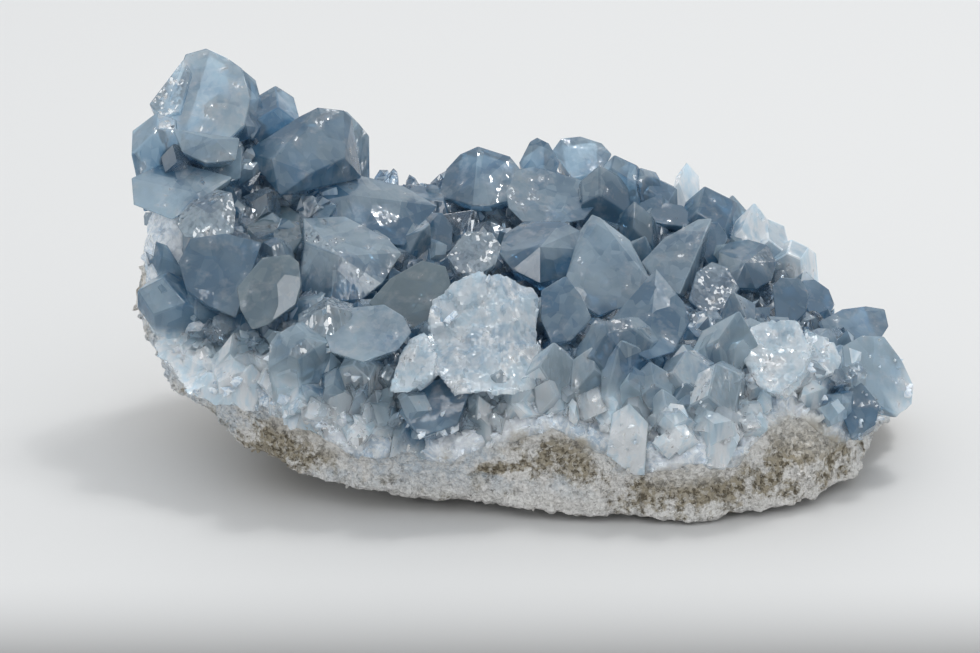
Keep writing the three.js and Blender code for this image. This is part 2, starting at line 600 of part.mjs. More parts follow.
// How a filler stands: anywhere in the hollow or on the broken front, upright on the crust but for a
// random lean, and only where no crystal of the list stands already
function fillerStem(index, stems) {
  const seed = index + FILLERS.firstSeed;
  const pick = (salt) => chance(seed, salt);
  const bearing = 2 * Math.PI * pick(1);
  const reach = Math.sqrt(0.05 + 0.95 * pick(2)) * rimAt(bearing, "girth") * 0.97;
  const at = (b, r) => new THREE.Vector3(...planPoint(b, r), crustHeight(b, r));
  const root = at(bearing, reach);
  const crowded = stems.some((stem) => {
    const along = THREE.MathUtils.clamp(root.clone().sub(stem.root).dot(stem.axis), 0, stem.long);
    const nearest = stem.root.clone().addScaledVector(stem.axis, along);
    return nearest.distanceTo(root) < stem.wide * FILLERS.clearance;
  });
  const outside = reach > rimAt(bearing, "crest") && Math.sin(bearing) > FILLERS.bareWall;
  if (crowded || outside || root.z < seamHeight(bearing, reach) + FILLERS.aboveSeam) {
    return null;
  }
  const outward = at(bearing, reach + 0.01).sub(root);
  const round = at(bearing + 0.02, reach).sub(root);
  const axis = new THREE.Vector3().crossVectors(outward, round).normalize();
  const lean = [pick(3) - 0.5, pick(4) - 0.5].map((share) => share * FILLERS.leaning);
  axis.add(new THREE.Vector3(...lean, (pick(5) - 0.3) * FILLERS.rising)).normalize();
  const long = FILLERS.shortest + (FILLERS.longest - FILLERS.shortest) * pick(6) ** 1.5;
  const wide = long * FILLERS.slimness * (0.8 + 0.5 * pick(7));
  const crosswise = new THREE.Vector3(pick(8) - 0.5, pick(9) - 0.5, 0.3);
  const thick = wide * FILLERS.thickness;
  return { root, axis, crosswise, long, wide, thick, buried: wide * FILLERS.rooted, habit: CHISEL, seed };
}

// The outer surface is lumpy, but what stands on the resting plane stays flat
function lumpy(x, y, z) {
  const size = LUMP_HEIGHT * lumps(x / LUMP_SIZE, y / LUMP_SIZE, z / LUMP_SIZE);
  const out = new THREE.Vector3(x - MIDDLE[0], y - MIDDLE[1], z - HOLLOW_FLOOR).normalize();
  return [x + out.x * size, y + out.y * size, z === 0 ? 0 : Math.max(0, z + out.z * size)];
}

// The whole body of the piece before rind and celestine are told apart
const laid = (shares, height) => shares.map((share) => ({ share, height }));
const body = ringSolid([
  ...laid(CRUST_RINGS, crustHeight),
  ...laid(UNDERSIDE_RINGS, undersideHeight),
], lumpy);

// Everything that lies higher than the seam by more than a lift
const aboveSeam = (lift) => ringSolid([
  ...laid([0, SEAM_RINGS[0]], () => ABOVE_ALL),
  ...laid(SEAM_RINGS, (bearing, reach) => seamHeight(bearing, reach) + lift),
], (x, y, z) => [x, y, z]);

const rind = body.subtract(aboveSeam(0));

const blocks = BLOCKS.map(blockStem);
const stems = CRYSTALS.map(seenStem);
const listed = [...blocks, ...stems];
const fillers = Array.from({ length: FILLERS.tries }, (_, index) => fillerStem(index, listed))
  .filter(Boolean);
const large = blocks.map(({ corners }) => hullSolid(corners));
const small = [...stems, ...fillers].map(crystalSolid);
const celestine = wasm.Manifold.union([body, ...large, ...small]).intersect(aboveSeam(SEAM_GAP));

// Chips that the cut leaves loose are dropped
const largestPart = (solid) => solid.decompose().sort((a, b) => b.volume() - a.volume())[0];

function meshFrom(name, solid, material) {
  const { vertProperties, triVerts } = largestPart(solid).getMesh();
  const geometry = new THREE.BufferGeometry();
  geometry.setAttribute("position", new THREE.BufferAttribute(vertProperties, 3));
  geometry.setIndex(new THREE.BufferAttribute(triVerts, 1));
  geometry.translate(...TO_ORIGIN);
  geometry.computeVertexNormals();
  const mesh = new THREE.Mesh(geometry, material);
  mesh.name = name;
  return mesh;
}

const rindStone = new THREE.MeshStandardMaterial({ color: RIND_BEIGE, roughness: 0.95, metalness: 0 });
const blueCrystal = new THREE.MeshStandardMaterial({
  color: CELESTINE_BLUE,
  roughness: 0.12,
  metalness: 0,
  transparent: true,
  opacity: 0.8,
});

const group = new THREE.Group();
group.add(meshFrom("matrix", rind, rindStone));
group.add(meshFrom("crystals", celestine, blueCrystal));

export default group;
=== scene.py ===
"""Looks of a hand-size piece of a celestine geode wall: rind, sugary massive layer and crystals.

Shapes are worked out in millimetres in the frame that the piece is seen in, and become metres in the
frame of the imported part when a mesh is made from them. The tables and formulas down to the fillers are
those of the solid part, so that each crystal here stands where its solid stands.
"""
import itertools
import json
import math

import bmesh
import bpy
import numpy as np
from bpy.props import FloatProperty, FloatVectorProperty, IntProperty, PointerProperty
from mathutils import Matrix, Vector

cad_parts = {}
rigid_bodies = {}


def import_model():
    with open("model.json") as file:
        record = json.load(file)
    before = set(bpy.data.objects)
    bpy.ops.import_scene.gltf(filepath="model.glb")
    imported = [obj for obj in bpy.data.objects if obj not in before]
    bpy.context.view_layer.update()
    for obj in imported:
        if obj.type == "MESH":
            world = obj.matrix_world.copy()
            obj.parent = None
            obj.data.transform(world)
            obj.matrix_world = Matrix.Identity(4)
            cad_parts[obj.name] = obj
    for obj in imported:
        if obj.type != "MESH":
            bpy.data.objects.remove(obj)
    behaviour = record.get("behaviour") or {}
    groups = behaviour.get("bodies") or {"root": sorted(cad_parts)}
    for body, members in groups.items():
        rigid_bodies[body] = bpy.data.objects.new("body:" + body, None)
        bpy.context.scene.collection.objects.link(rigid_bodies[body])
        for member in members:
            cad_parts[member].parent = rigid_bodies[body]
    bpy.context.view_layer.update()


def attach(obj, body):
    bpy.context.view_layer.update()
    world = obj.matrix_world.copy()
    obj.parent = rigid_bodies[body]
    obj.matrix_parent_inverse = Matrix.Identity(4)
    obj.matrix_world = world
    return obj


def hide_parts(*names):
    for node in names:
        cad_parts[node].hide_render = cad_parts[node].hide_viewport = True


bl_info = {
    "name": "Celestine crust",
    "version": (1, 0, 0),
    "blender": (4, 5, 0),
    "location": "3D View > Sidebar > Celestine",
    "description": "Builds a piece of geode wall with a crust of pale blue crystals",
    "category": "Add Mesh",
}

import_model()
MM = 0.001

# Driving dimensions of the shell, in millimetres
HALF_LENGTH = 58.0
HALF_DEPTH = 33.0
MIDDLE = np.array([0.0, 3.0])
HOLLOW_FLOOR = 21.0
HOLLOW_CURVE = 1.7
RIND_THICKNESS = 5.0
UNDERSIDE_CURVE = 3.2
REST_TRIM = 0.9
LUMP_HEIGHT = 1.9
LUMP_SIZE = 8.0
SEAM_LUMP_HEIGHT = 1.2
SEAM_LUMP_SIZE = 6.0
TO_ORIGIN = np.array([-0.05, -2.8, 0.0])

# How the piece is seen from the front: distance in millimetres, tilt, and the picture, 980 by 653 pixels
VIEW_DISTANCE = 550.0
VIEW_TILT = math.radians(20.0)
PIXELS_PER_UNIT_SLOPE = 3608.0
FRAME_WIDTH = 980.0
FRAME_CENTRE = (490.0, 326.5)
LOOK_AT = np.array([-4.6, 0.0, 18.9])
SENSOR_WIDTH = 36.0

# Search for a root along its line of sight: pixels to look lower, and span and step in millimetres
DEEPEST_ROOT = 80
SIGHT_MARGIN = 60.0
SIGHT_STEP = 0.25

SEEN_RIGHT = np.array([1.0, 0.0, 0.0])
SEEN_UP = np.array([0.0, math.sin(VIEW_TILT), math.cos(VIEW_TILT)])
SEEN_AWAY = np.array([0.0, math.cos(VIEW_TILT), -math.sin(VIEW_TILT)])
EYE = LOOK_AT - VIEW_DISTANCE * SEEN_AWAY

# The rim every 30 degrees from the right end round by the back: reach and height of the crest, reach
# and height of the widest girth, and height of the rind's top edge
RIM_KEYS = ("crest", "crest_z", "girth", "girth_z", "rind_z")
RIM_ROWS = (
    (0.86, 14, 1.03, 6.5, 9),
    (0.84, 17, 1.0, 8, 13),
    (0.9, 28, 1.05, 9, 20),
    (0.92, 31, 1.05, 10, 22),
    (0.86, 32, 1.0, 12, 24),
    (0.87, 46, 1.03, 18, 36),
    (0.9, 40, 1.01, 20, 31),
    (0.8, 27, 0.99, 11.5, 16),
    (0.73, 23, 1.02, 4.5, 10),
    (0.62, 21, 0.99, 2.4, 9),
    (0.68, 20, 1.17, 1.2, 8),
    (0.76, 18, 1.03, 3.2, 9),
)
RIM = {key: np.array([row[i] for row in RIM_ROWS], float) for i, key in enumerate(RIM_KEYS)}

# Places where the rind climbs higher on the broken front: X, Y, half width, rise
RIND_CLIMBS = ((-36, -20, 7, 4), (5, -28, 8, 5), (37, -22, 7, 7))

# Crystal habits: slopes of the end faces over the width and over the thickness, share of the point
# that is cut off flat, and how much of the prism's corners is left
WEDGE = (50, 68, 0, 0.84)
POINT = (56, 52, 0, 0.78)
BLOCK = (40, 50, 0.14, 0.88)
ROUND = (36, 34, 0.1, 0.8)
CHISEL = (48, 0, 0, 0.95)

# Finishes of single crystals: how deep the blue is, how smoky, how frosted and how broken into glints.
# Large MILKY crystals are fused into one body that is broken into steps.
CLEAR = (0.75, 0.05, 0.12, 0.0)
PALE = (0.35, 0.0, 0.35, 0.1)
DEEP = (1.0, 0.1, 0.08, 0.0)
SLATE = (0.8, 0.15, 0.1, 0.0)
OLIVE = (0.6, 0.55, 0.1, 0.0)
HAZY = (0.3, 0.0, 0.5, 0.0)
GLINT = (0.3, 0.0, 0.2, 1.0)
MILKY = (0.1, 0.0, 1.0, 0.15)
LIMPID = (0.06, 0.0, 0.46, 0.0)
FROSTED = (0.4, 0.0, 0.68, 0.3)
# Painted highlight: the white of a top face that the light falls on
PAINTED_HIGHLIGHT_WHITE = (0.0, 0.0, 0.85, 0.0)
FINISH_KEYS = ("depth", "smoke", "frost", "glint")

# How much the finish differs from face to face of one crystal, and the finish of the large broken ones
FACE_STRAY = (0.7, 0.1, 0.5, 0.1)
BROKEN_FINISH = (0.38, 0.0, 0.8, 0.4)

# The share of all faces that glint, and how strongly
GLINTING_FACES = 0.05
GLINT_OF_FACE = 0.8

# Edges of a crystal that turn more than this are worn, and narrower crystals than this keep sharp edges
WORN_ANGLE = math.radians(38.0)
NARROWEST_WORN = 4

# Corners nearer than this, in millimetres, are one, and faces that turn less than this are one: on large
# crystals, whose corners are read from the picture, and on the others
CORNER_MERGE = 0.02
BLOCK_FLATNESS = math.radians(9.0)
PRISM_FLATNESS = math.radians(1.0)

# The large crystals, by their corners as seen: name, root, finish, and for each corner its place in the
# picture and how far in front of the root it is, in millimetres. The first three corners span the main
# face, and a corner without a distance lies in that face.
BLOCKS = (
    # The horn at the left end
    ("crown", (208, 150), HAZY, (
        (206, 48, -2), (168, 100, 2.5), (245, 125, 5),
        (185, 54), (228, 58), (242, 68), (251, 98), (222, 146), (190, 146), (172, 128),
    )),
    ("crown brow", (180, 132), PALE, (
        (165, 86, 0), (184, 58, -2), (180, 112, 4), (192, 72), (162, 118), (149, 104),
    )),
    ("crown foot", (210, 172), PALE, (
        (172, 128, 5), (240, 138, 5), (206, 163, 8), (214, 139, 6.5), (236, 160), (182, 152),
    )),
    ("crown right", (254, 142), CLEAR, (
        (240, 67, 0), (256, 80, -1), (252, 140, 4), (266, 118, 0), (243, 112, 3),
    )),
    ("steel prism", (300, 190), DEEP, (
        (262, 139, 2), (318, 107, 0), (272, 160, 7), (300, 116), (244, 152),
        (344, 110, -1), (345, 158, 3), (310, 174, 7), (280, 196, 9), (362, 178, -2), (352, 118, -2),
    )),
    ("left slab", (196, 204), PALE, (
        (131, 178, 1), (170, 160, -1), (233, 177, 3), (198, 193), (172, 220, 7), (133, 205, 4),
    )),
    ("horn nook", (224, 192), SLATE, (
        (222, 142, 0), (243, 147, 1), (241, 178, 4), (218, 185), (198, 172), (208, 158),
    )),
    ("broken glint", (204, 238), GLINT, (
        (185, 200, 1), (214, 188, 0), (204, 210, 5), (232, 192), (236, 211, 4), (176, 224, 4),
        (234, 233, 6), (214, 240, 7), (184, 237, 6),
    )),
    ("smoky upper", (300, 232), OLIVE, (
        (238, 214, 5), (246, 203, 3), (300, 214, 2), (262, 198), (284, 203), (300, 226, 4),
        (262, 224, 6),
    )),
    ("smoky lower", (302, 256), OLIVE, (
        (244, 226, 5), (262, 219, 3), (300, 221, 2), (303, 238, 4), (292, 254, 6), (270, 250, 7),
        (252, 242, 6),
    )),
    # A deep blue crystal whose dark colour also paints the shade that falls in the hollow under the broken
    # glint
    ("deep facet", (220, 312), DEEP, (
        (190, 238, 2), (262, 242, 3), (236, 318, 7), (226, 233), (178, 262), (186, 290), (206, 305),
        (248, 290),
    )),
    ("olive clear", (276, 316), OLIVE, (
        (262, 257, 3), (299, 262, 3), (268, 325, 7), (290, 254), (302, 285), (296, 305), (252, 330),
        (240, 310), (236, 288),
    )),
    ("low left round", (186, 394), MILKY, (
        (152, 346, 4), (190, 328, 3), (186, 396, 10), (160, 330), (206, 342), (216, 366), (206, 388),
        (160, 386),
    )),
    # The hollow
    ("long blade", (350, 218), CLEAR, (
        (318, 172, 0), (404, 186, -2), (350, 195, 4), (344, 171), (438, 206, 1), (312, 202, 6),
        (346, 240, 9), (404, 246, 6),
    )),
    ("pale block", (345, 292), PALE, (
        (303, 218, 0), (388, 238, 1), (340, 256, 8), (345, 216), (402, 253, 4), (305, 242, 5),
        (382, 284, 8), (362, 300, 9), (330, 302, 9), (298, 290, 6),
    )),
    ("deep corner", (430, 262), DEEP, (
        (406, 214, 1), (442, 212, 0), (436, 258, 5), (453, 226), (452, 250), (412, 254), (394, 240),
    )),
    ("olive smooth", (418, 334), OLIVE, (
        (368, 303, 4), (422, 260, 2), (424, 334, 8), (390, 278), (446, 266), (452, 286), (436, 312),
        (400, 325),
    )),
    ("glint grey", (470, 292), GLINT, (
        (466, 231, 0), (492, 232, 0), (476, 276, 6), (502, 246), (496, 264), (458, 272), (446, 256),
    )),
    ("blue veined", (540, 296), CLEAR, (
        (504, 234, 0), (562, 221, -1), (540, 247, 6), (524, 221), (580, 230, 1), (498, 252, 4),
        (586, 250, 3), (570, 276, 6), (540, 284, 8), (512, 270, 7),
    )),
    ("tall wedge", (606, 322), PALE, (
        (600, 217, 0), (642, 272, 4), (600, 316, 8), (636, 302), (572, 300), (566, 276),
        (580, 230, -1), (592, 214, -1), (630, 240, 0), (652, 284, 1),
    )),
    ("flat blue", (562, 350), CLEAR, (
        (541, 290, 3), (566, 275, 2), (552, 344, 8), (582, 295), (592, 318), (572, 340), (541, 320),
    )),
    ("dark point", (652, 362), DEEP, (
        (656, 268, 0), (610, 320, 5), (648, 360, 10), (614, 342), (684, 302, 2), (690, 322, 4),
        (674, 352, 8),
    )),
    ("broad pale", (680, 302), LIMPID, (
        (641, 262, 3), (698, 219, 0), (668, 290, 8), (664, 238), (712, 218), (704, 242), (692, 268),
        (680, 294), (655, 280),
    )),
    ("broad pale side", (714, 278), CLEAR, (
        (706, 222, 1), (728, 236, 0), (710, 268, 4), (718, 221), (722, 256), (700, 250),
    )),
    ("slate table", (674, 240), SLATE, (
        (651, 209, 2), (683, 205, 0), (664, 224, 4), (659, 201), (692, 216), (688, 227), (646, 219),
    )),
    ("grey block", (744, 300), SLATE, (
        (718, 252, 3), (768, 245, 0), (745, 263, 6), (728, 242), (748, 239), (777, 262, 2),
        (772, 280, 4), (756, 290, 6), (734, 288, 7), (717, 274, 6),
    )),
    ("veined small", (710, 318), CLEAR, (
        (696, 272, 2), (728, 267, 1), (706, 316, 7), (712, 261), (740, 288), (730, 306), (688, 300),
    )),
    ("striated dark", (792, 336), DEEP, (
        (772, 286, 3), (800, 278, 0), (790, 328, 7), (780, 277), (809, 292), (806, 312), (776, 322),
    )),
    ("striated tail", (815, 328), DEEP, (
        (802, 280, 0), (829, 289, -1), (812, 320, 5), (815, 279), (835, 304), (828, 316), (806, 306),
    )),
    # The hump and the back rim
    ("hump", (482, 222), SLATE, (
        (438, 196, 2), (478, 146, -1), (472, 206, 6), (446, 169), (460, 154), (510, 156, -1),
        (523, 172, 0), (517, 198, 3), (490, 206, 6),
    )),
    ("back point", (536, 196), CLEAR, (
        (519, 162, 1), (537, 137, -1), (540, 184, 4), (530, 141), (549, 143), (560, 162), (554, 180),
        (528, 180),
    )),
    ("back pale", (580, 194), HAZY, (
        (552, 150, 0), (580, 136, -2), (572, 178, 3), (561, 138), (602, 143), (612, 154), (602, 172),
    )),
    ("back broad", (560, 230), CLEAR, (
        (504, 188, 2), (562, 174, 0), (560, 224, 7), (514, 170), (534, 166), (590, 182), (598, 202),
        (584, 220), (522, 222), (508, 208),
    )),
    # The right end
    ("milk boulder", (782, 402), MILKY, (
        (740, 352, 4), (768, 317, 1), (780, 396, 9), (750, 324), (798, 319), (815, 340), (808, 372),
        (756, 386),
    )),
    ("milk boulder side", (822, 392), MILKY, (
        (802, 324, 2), (832, 334, 0), (816, 380, 6), (843, 360), (836, 374), (806, 350),
    )),
    ("right roof", (850, 352), CLEAR, (
        (818, 322, 4), (885, 309, -1), (852, 344, 6), (842, 309), (866, 306), (889, 326), (880, 340),
        (826, 342),
    )),
    ("right mass", (866, 414), PALE, (
        (842, 346, 5), (884, 336, 0), (872, 402, 6), (862, 335), (902, 360), (914, 386), (912, 404),
        (898, 418), (846, 384),
    )),
    ("right deep facet", (862, 442), DEEP, (
        (838, 406, 7), (860, 380, 5), (852, 440, 9), (846, 386), (880, 404), (876, 424),
    )),
    # The broken front
    ("white cleft", (484, 360), MILKY, (
        (430, 300, 3), (502, 270, 0), (486, 394, 10.5), (455, 281), (478, 271), (536, 285, -1),
        (541, 296, -1), (541, 386, 7), (518, 397, 10), (458, 394), (436, 372), (426, 320),
    )),
    ("white wing", (412, 404), MILKY, (
        (388, 393, 8), (424, 332, 3), (410, 394, 9), (390, 372), (404, 345), (440, 350), (434, 374),
    )),
    ("front broad", (368, 364), HAZY, (
        (322, 326, 4), (384, 304, 1), (362, 362, 9), (352, 307), (404, 316), (412, 332), (398, 350),
        (330, 352),
    )),
    ("crevice facet", (440, 442), DEEP, (
        (420, 418, 4), (448, 402, 3), (436, 432, 6), (430, 404), (457, 414), (446, 430),
    )),
)

# Flat bodies with a face of another tone, each a little in front of the large crystal that it belongs to:
# a white body on the long blade's top paints the highlight of its lit top face, and a deep blue one lies
# in the crevice
TONED_AND_PAINTED_LIGHT_FACES = (
    ("blade top painted highlight", (384, 204), PAINTED_HIGHLIGHT_WHITE, (
        (321, 174, 0.5), (403, 188, -1.6), (436, 207, 1.6), (345, 173), (400, 200), (350, 190),
    )),
    ("crevice blue", (440, 442), DEEP, (
        (398, 412, 5), (452, 374, 3), (420, 438, 7), (414, 386), (470, 392), (458, 424),
    )),
)

# The far side of a large crystal: its seen corners drawn in towards their middle, and set back by a
# share of their mean distance from it; and how deep it is rooted, how far its two feet stand apart, and
# its width for its neighbours, all as shares of the same distance
FAR_SIDE = 0.72
FAR_DEPTH = 0.85
ROOT_DEPTH = 0.7
ROOT_SPREAD = 0.45
BLOCK_WIDTH = 1.5

# The other crystals that can be told apart: name, root and tip as seen, lean towards the viewer in
# degrees, width in millimetres, thickness as a share of it, turn about the own axis, habit and finish
CRYSTALS = (
    # The horn at the left end
    ("crown tooth", (250, 104), (246, 64), 5, 3.6, 0.8, 30, WEDGE, CLEAR),
    ("crown side", (272, 140), (274, 86), 8, 7.5, 0.8, 65, BLOCK, CLEAR),
    ("crown back ridge", (302, 140), (303, 98), 5, 6, 0.8, 20, ROUND, PALE),
    ("crown left lump", (165, 150), (153, 94), 15, 7, 0.9, 40, ROUND, HAZY),
    ("steel prism flank", (344, 190), (350, 111), 5, 5, 0.9, 15, BLOCK, PALE),
    ("cliff chip", (214, 308), (188, 284), 32, 4.2, 0.8, 30, POINT, CLEAR),
    ("cliff pale chip", (174, 282), (157, 242), 24, 3.6, 0.8, 60, WEDGE, PALE),
    ("cliff low chip", (188, 314), (142, 290), 30, 6, 0.8, 20, BLOCK, CLEAR),
    ("cliff edge chip", (160, 322), (140, 312), 15, 5, 0.8, 55, ROUND, HAZY),
    # The hollow
    ("dark base", (616, 372), (618, 322), 48, 9, 0.85, 15, BLOCK, SLATE),
    ("slate chip", (640, 258), (633, 203), 30, 5.6, 0.85, 30, POINT, SLATE),
    ("slate chip low", (632, 276), (648, 236), 34, 5, 0.85, 10, WEDGE, SLATE),
    ("pale roof", (720, 374), (740, 309), 34, 8.4, 0.8, 35, WEDGE, LIMPID),
    # The hump and the back rim
    ("hump pit a", (490, 216), (481, 189), 20, 3.4, 0.8, 20, POINT, SLATE),
    ("hump pit b", (504, 216), (496, 186), 18, 3.6, 0.8, 50, WEDGE, SLATE),
    ("back smoky", (600, 222), (603, 166), 24, 7.4, 0.85, 55, BLOCK, SLATE),
    ("ridge a", (626, 210), (618, 154), 14, 6, 0.8, 30, BLOCK, CLEAR),
    ("ridge b", (646, 208), (640, 168), 14, 5.4, 0.8, 55, ROUND, PALE),
    ("ridge c", (664, 214), (658, 177), 14, 4.8, 0.8, 15, BLOCK, PALE),
    ("white tooth", (686, 214), (688, 163), 6, 4, 0.75, 40, WEDGE, MILKY),
    ("rim slab", (710, 236), (706, 187), 16, 7.6, 0.8, 25, BLOCK, CLEAR),
    ("rim facet", (728, 236), (731, 194), 14, 5.4, 0.8, 48, WEDGE, PALE),
    ("rim pale a", (747, 256), (748, 202), 14, 6, 0.8, 28, WEDGE, MILKY),
    ("rim pale b", (772, 268), (764, 217), 12, 6, 0.8, 50, BLOCK, MILKY),
    ("rim pale c", (792, 288), (791, 240), 12, 6, 0.8, 22, ROUND, MILKY),
    ("far saddle", (424, 214), (414, 181), 0, 8, 0.8, 40, ROUND, CLEAR),
    # The right end
    ("right end low", (878, 452), (902, 420), 18, 7, 0.85, 50, ROUND, HAZY),
    ("right foot", (864, 474), (868, 440), 36, 5.6, 0.85, 45, WEDGE, PALE),
    # The broken front
    ("front glint", (326, 344), (328, 303), 50, 7.6, 0.8, 55, BLOCK, GLINT),
    ("front pale", (306, 384), (300, 330), 46, 8.6, 0.8, 35, ROUND, LIMPID),
    ("low left foot", (218, 424), (206, 376), 40, 7.2, 0.85, 55, ROUND, HAZY),
    ("small white a", (236, 380), (235, 330), 25, 5, 0.8, 35, WEDGE, FROSTED),
    ("small white b", (247, 416), (248, 364), 34, 5.6, 0.85, 15, BLOCK, FROSTED),
    ("small white c", (286, 394), (284, 343), 36, 5.2, 0.8, 50, POINT, FROSTED),
    ("small white d", (332, 392), (330, 353), 30, 3.8, 0.85, 30, POINT, FROSTED),
    ("small grey e", (362, 392), (362, 352), 34, 5.6, 0.85, 20, ROUND, FROSTED),
    ("small grey f", (306, 414), (298, 376), 38, 5.2, 0.85, 40, BLOCK, FROSTED),
    ("small grey g", (346, 416), (338, 384), 38, 5.4, 0.85, 10, WEDGE, FROSTED),
    ("crevice side", (408, 446), (412, 404), 34, 4.8, 0.85, 50, WEDGE, CLEAR),
    ("cleft foot", (480, 428), (478, 394), 34, 4.4, 0.85, 30, POINT, FROSTED),
    ("frosted a", (552, 396), (553, 342), 30, 5.8, 0.8, 25, WEDGE, FROSTED),
    ("frosted b", (584, 394), (590, 346), 30, 5.2, 0.8, 60, POINT, FROSTED),
    ("white edged", (632, 404), (618, 343), 30, 6.6, 0.8, 30, WEDGE, PALE),
    ("white edged low", (656, 406), (652, 362), 34, 4.8, 0.85, 50, POINT, PALE),
    ("front white a", (688, 396), (686, 351), 34, 5.8, 0.8, 20, BLOCK, FROSTED),
    ("front white b", (668, 420), (664, 386), 36, 4.2, 0.85, 45, POINT, FROSTED),
    ("front white c", (716, 412), (713, 365), 36, 6.2, 0.85, 30, BLOCK, FROSTED),
    ("front deep", (692, 416), (690, 381), 34, 4.6, 0.85, 15, WEDGE, CLEAR),
    ("front low grey", (628, 448), (630, 402), 36, 5.6, 0.85, 40, POINT, FROSTED),
)

# How a crystal departs from a plain prism, as in the solid part
MAIN_SLOPE = 48.0
TAPER_MAIN = 0.05
TAPER_FLAT = 0.04
STRAY = {"face": 0.09, "skew": 0.2, "main": 10.0, "end": 12.0, "tip": 0.3}
SLIM_CRYSTAL = 8.2
ROOTED = 0.7

# The small crystals that the solid part has between the listed ones
FILLERS = {
    "tries": 84, "first_seed": 500, "shortest": 3.4, "longest": 7.5, "slimness": 0.68, "thickness": 0.85,
    "rooted": 0.6, "leaning": 1.1, "rising": 0.8, "clearance": 0.5, "above_seam": 1.5, "bare_wall": -0.35,
}

SCATTER = np.array([12.9898, 78.233, 37.719])
SCATTER_SCALE = 43758.5453


def wave(n):
    """A value from 0 to 1 without a pattern, for a number."""
    x = np.sin(n) * SCATTER_SCALE
    return x - np.floor(x)


def chance(index, salt):
    return wave(index * SCATTER[0] + salt * SCATTER[1])


def lumps(points):
    """Smooth noise between -1 and 1, one lump for each unit of space."""
    cell = np.floor(points)
    part = points - cell
    part = part * part * (3 - 2 * part)
    total = np.zeros(points.shape[:-1])
    for corner in itertools.product((0, 1), repeat=3):
        step = np.array(corner)
        weight = np.prod(np.where(step, part, 1 - part), axis=-1)
        total += weight * wave((cell + step) @ SCATTER)
    return 2 * total - 1


def rim_at(bearing, key):
    """One value of the rim at a bearing, on a smooth curve through the rows."""
    values = RIM[key]
    place = (bearing / (2 * math.pi) * len(values)) % len(values)
    row = np.floor(place).astype(int)
    t = place - row
    a, b, c, d = (values[(row + k) % len(values)] for k in (-1, 0, 1, 2))
    return b + 0.5 * t * (c - a + t * (2 * a - 5 * b + 4 * c - d + t * (3 * (b - c) + d - a)))


def bearing_and_reach(x, y):
    u = (x - MIDDLE[0]) / HALF_LENGTH
    v = (y - MIDDLE[1]) / HALF_DEPTH
    return np.arctan2(v, u), np.hypot(u, v)


def plan_point(bearing, reach):
    return (MIDDLE[0] + HALF_LENGTH * reach * np.cos(bearing),
            MIDDLE[1] + HALF_DEPTH * reach * np.sin(bearing))


def crust_height(bearing, reach):
    """Height of the crust's upper surface: a hollow that climbs to the crest, then the outer wall."""
    crest, crest_z = rim_at(bearing, "crest"), rim_at(bearing, "crest_z")
    girth, girth_z = rim_at(bearing, "girth"), rim_at(bearing, "girth_z")
    inside = HOLLOW_FLOOR + (crest_z - HOLLOW_FLOOR) * (reach / crest) ** HOLLOW_CURVE
    out = np.clip((reach - crest) / (girth - crest), 0, 1)
    return np.where(reach <= crest, inside, girth_z + (crest_z - girth_z) * np.sqrt(1 - out * out))


def underside_height(bearing, reach):
    out = reach / rim_at(bearing, "girth")
    return np.maximum(0, (rim_at(bearing, "girth_z") + REST_TRIM) * out ** UNDERSIDE_CURVE - REST_TRIM)


def seam_height(bearing, reach):
    """Height of the seam where the rind ends and the celestine starts."""
    out = reach / rim_at(bearing, "girth")
    x, y = plan_point(bearing, reach)
    place = np.stack([x / SEAM_LUMP_SIZE, y / SEAM_LUMP_SIZE, np.full_like(x, 3.5)], axis=-1)
    climb = sum(rise * np.exp(-((x - cx) ** 2 + (y - cy) ** 2) / spread ** 2)
                for cx, cy, spread, rise in RIND_CLIMBS)
    edge = rim_at(bearing, "rind_z") - rim_at(bearing, "girth_z") - RIND_THICKNESS
    under = rim_at(bearing, "girth_z") * np.minimum(out, 1.2) ** UNDERSIDE_CURVE
    lump = SEAM_LUMP_HEIGHT * lumps(place)
    return under + RIND_THICKNESS + edge * np.minimum(out, 1.1) ** 4 + climb + lump


def lumpy(points):
    """The outer surface is lumpy, but what stands on the resting plane stays flat."""
    size = LUMP_HEIGHT * lumps(points / LUMP_SIZE)
    out = points - np.array([MIDDLE[0], MIDDLE[1], HOLLOW_FLOOR])
    out /= np.maximum(np.linalg.norm(out, axis=-1, keepdims=True), 1e-9)
    moved = points + out * size[..., None]
    moved[..., 2] = np.where(points[..., 2] == 0, 0, np.maximum(0, moved[..., 2]))
    return moved


def sight_direction(pixel):
    return (SEEN_AWAY + SEEN_RIGHT * (pixel[0] - FRAME_CENTRE[0]) / PIXELS_PER_UNIT_SLOPE
            + SEEN_UP * (FRAME_CENTRE[1] - pixel[1]) / PIXELS_PER_UNIT_SLOPE)


def root_on_crust(pixel):
    """Where the line of sight through a pixel first meets the crust, or lower where it passes above it."""
    far = VIEW_DISTANCE + np.arange(-SIGHT_MARGIN, SIGHT_MARGIN, SIGHT_STEP)
    for lower in range(DEEPEST_ROOT):
        points = EYE + sight_direction((pixel[0], pixel[1] + lower)) * far[:, None]
        bearing, reach = bearing_and_reach(points[:, 0], points[:, 1])
        met = (reach < rim_at(bearing, "girth")) & (points[:, 2] < crust_height(bearing, reach))
        if met.any():
            return points[np.argmax(met)]
    raise RuntimeError(f"no crust below pixel {pixel}")


def unit(vector):
    return vector / np.linalg.norm(vector)


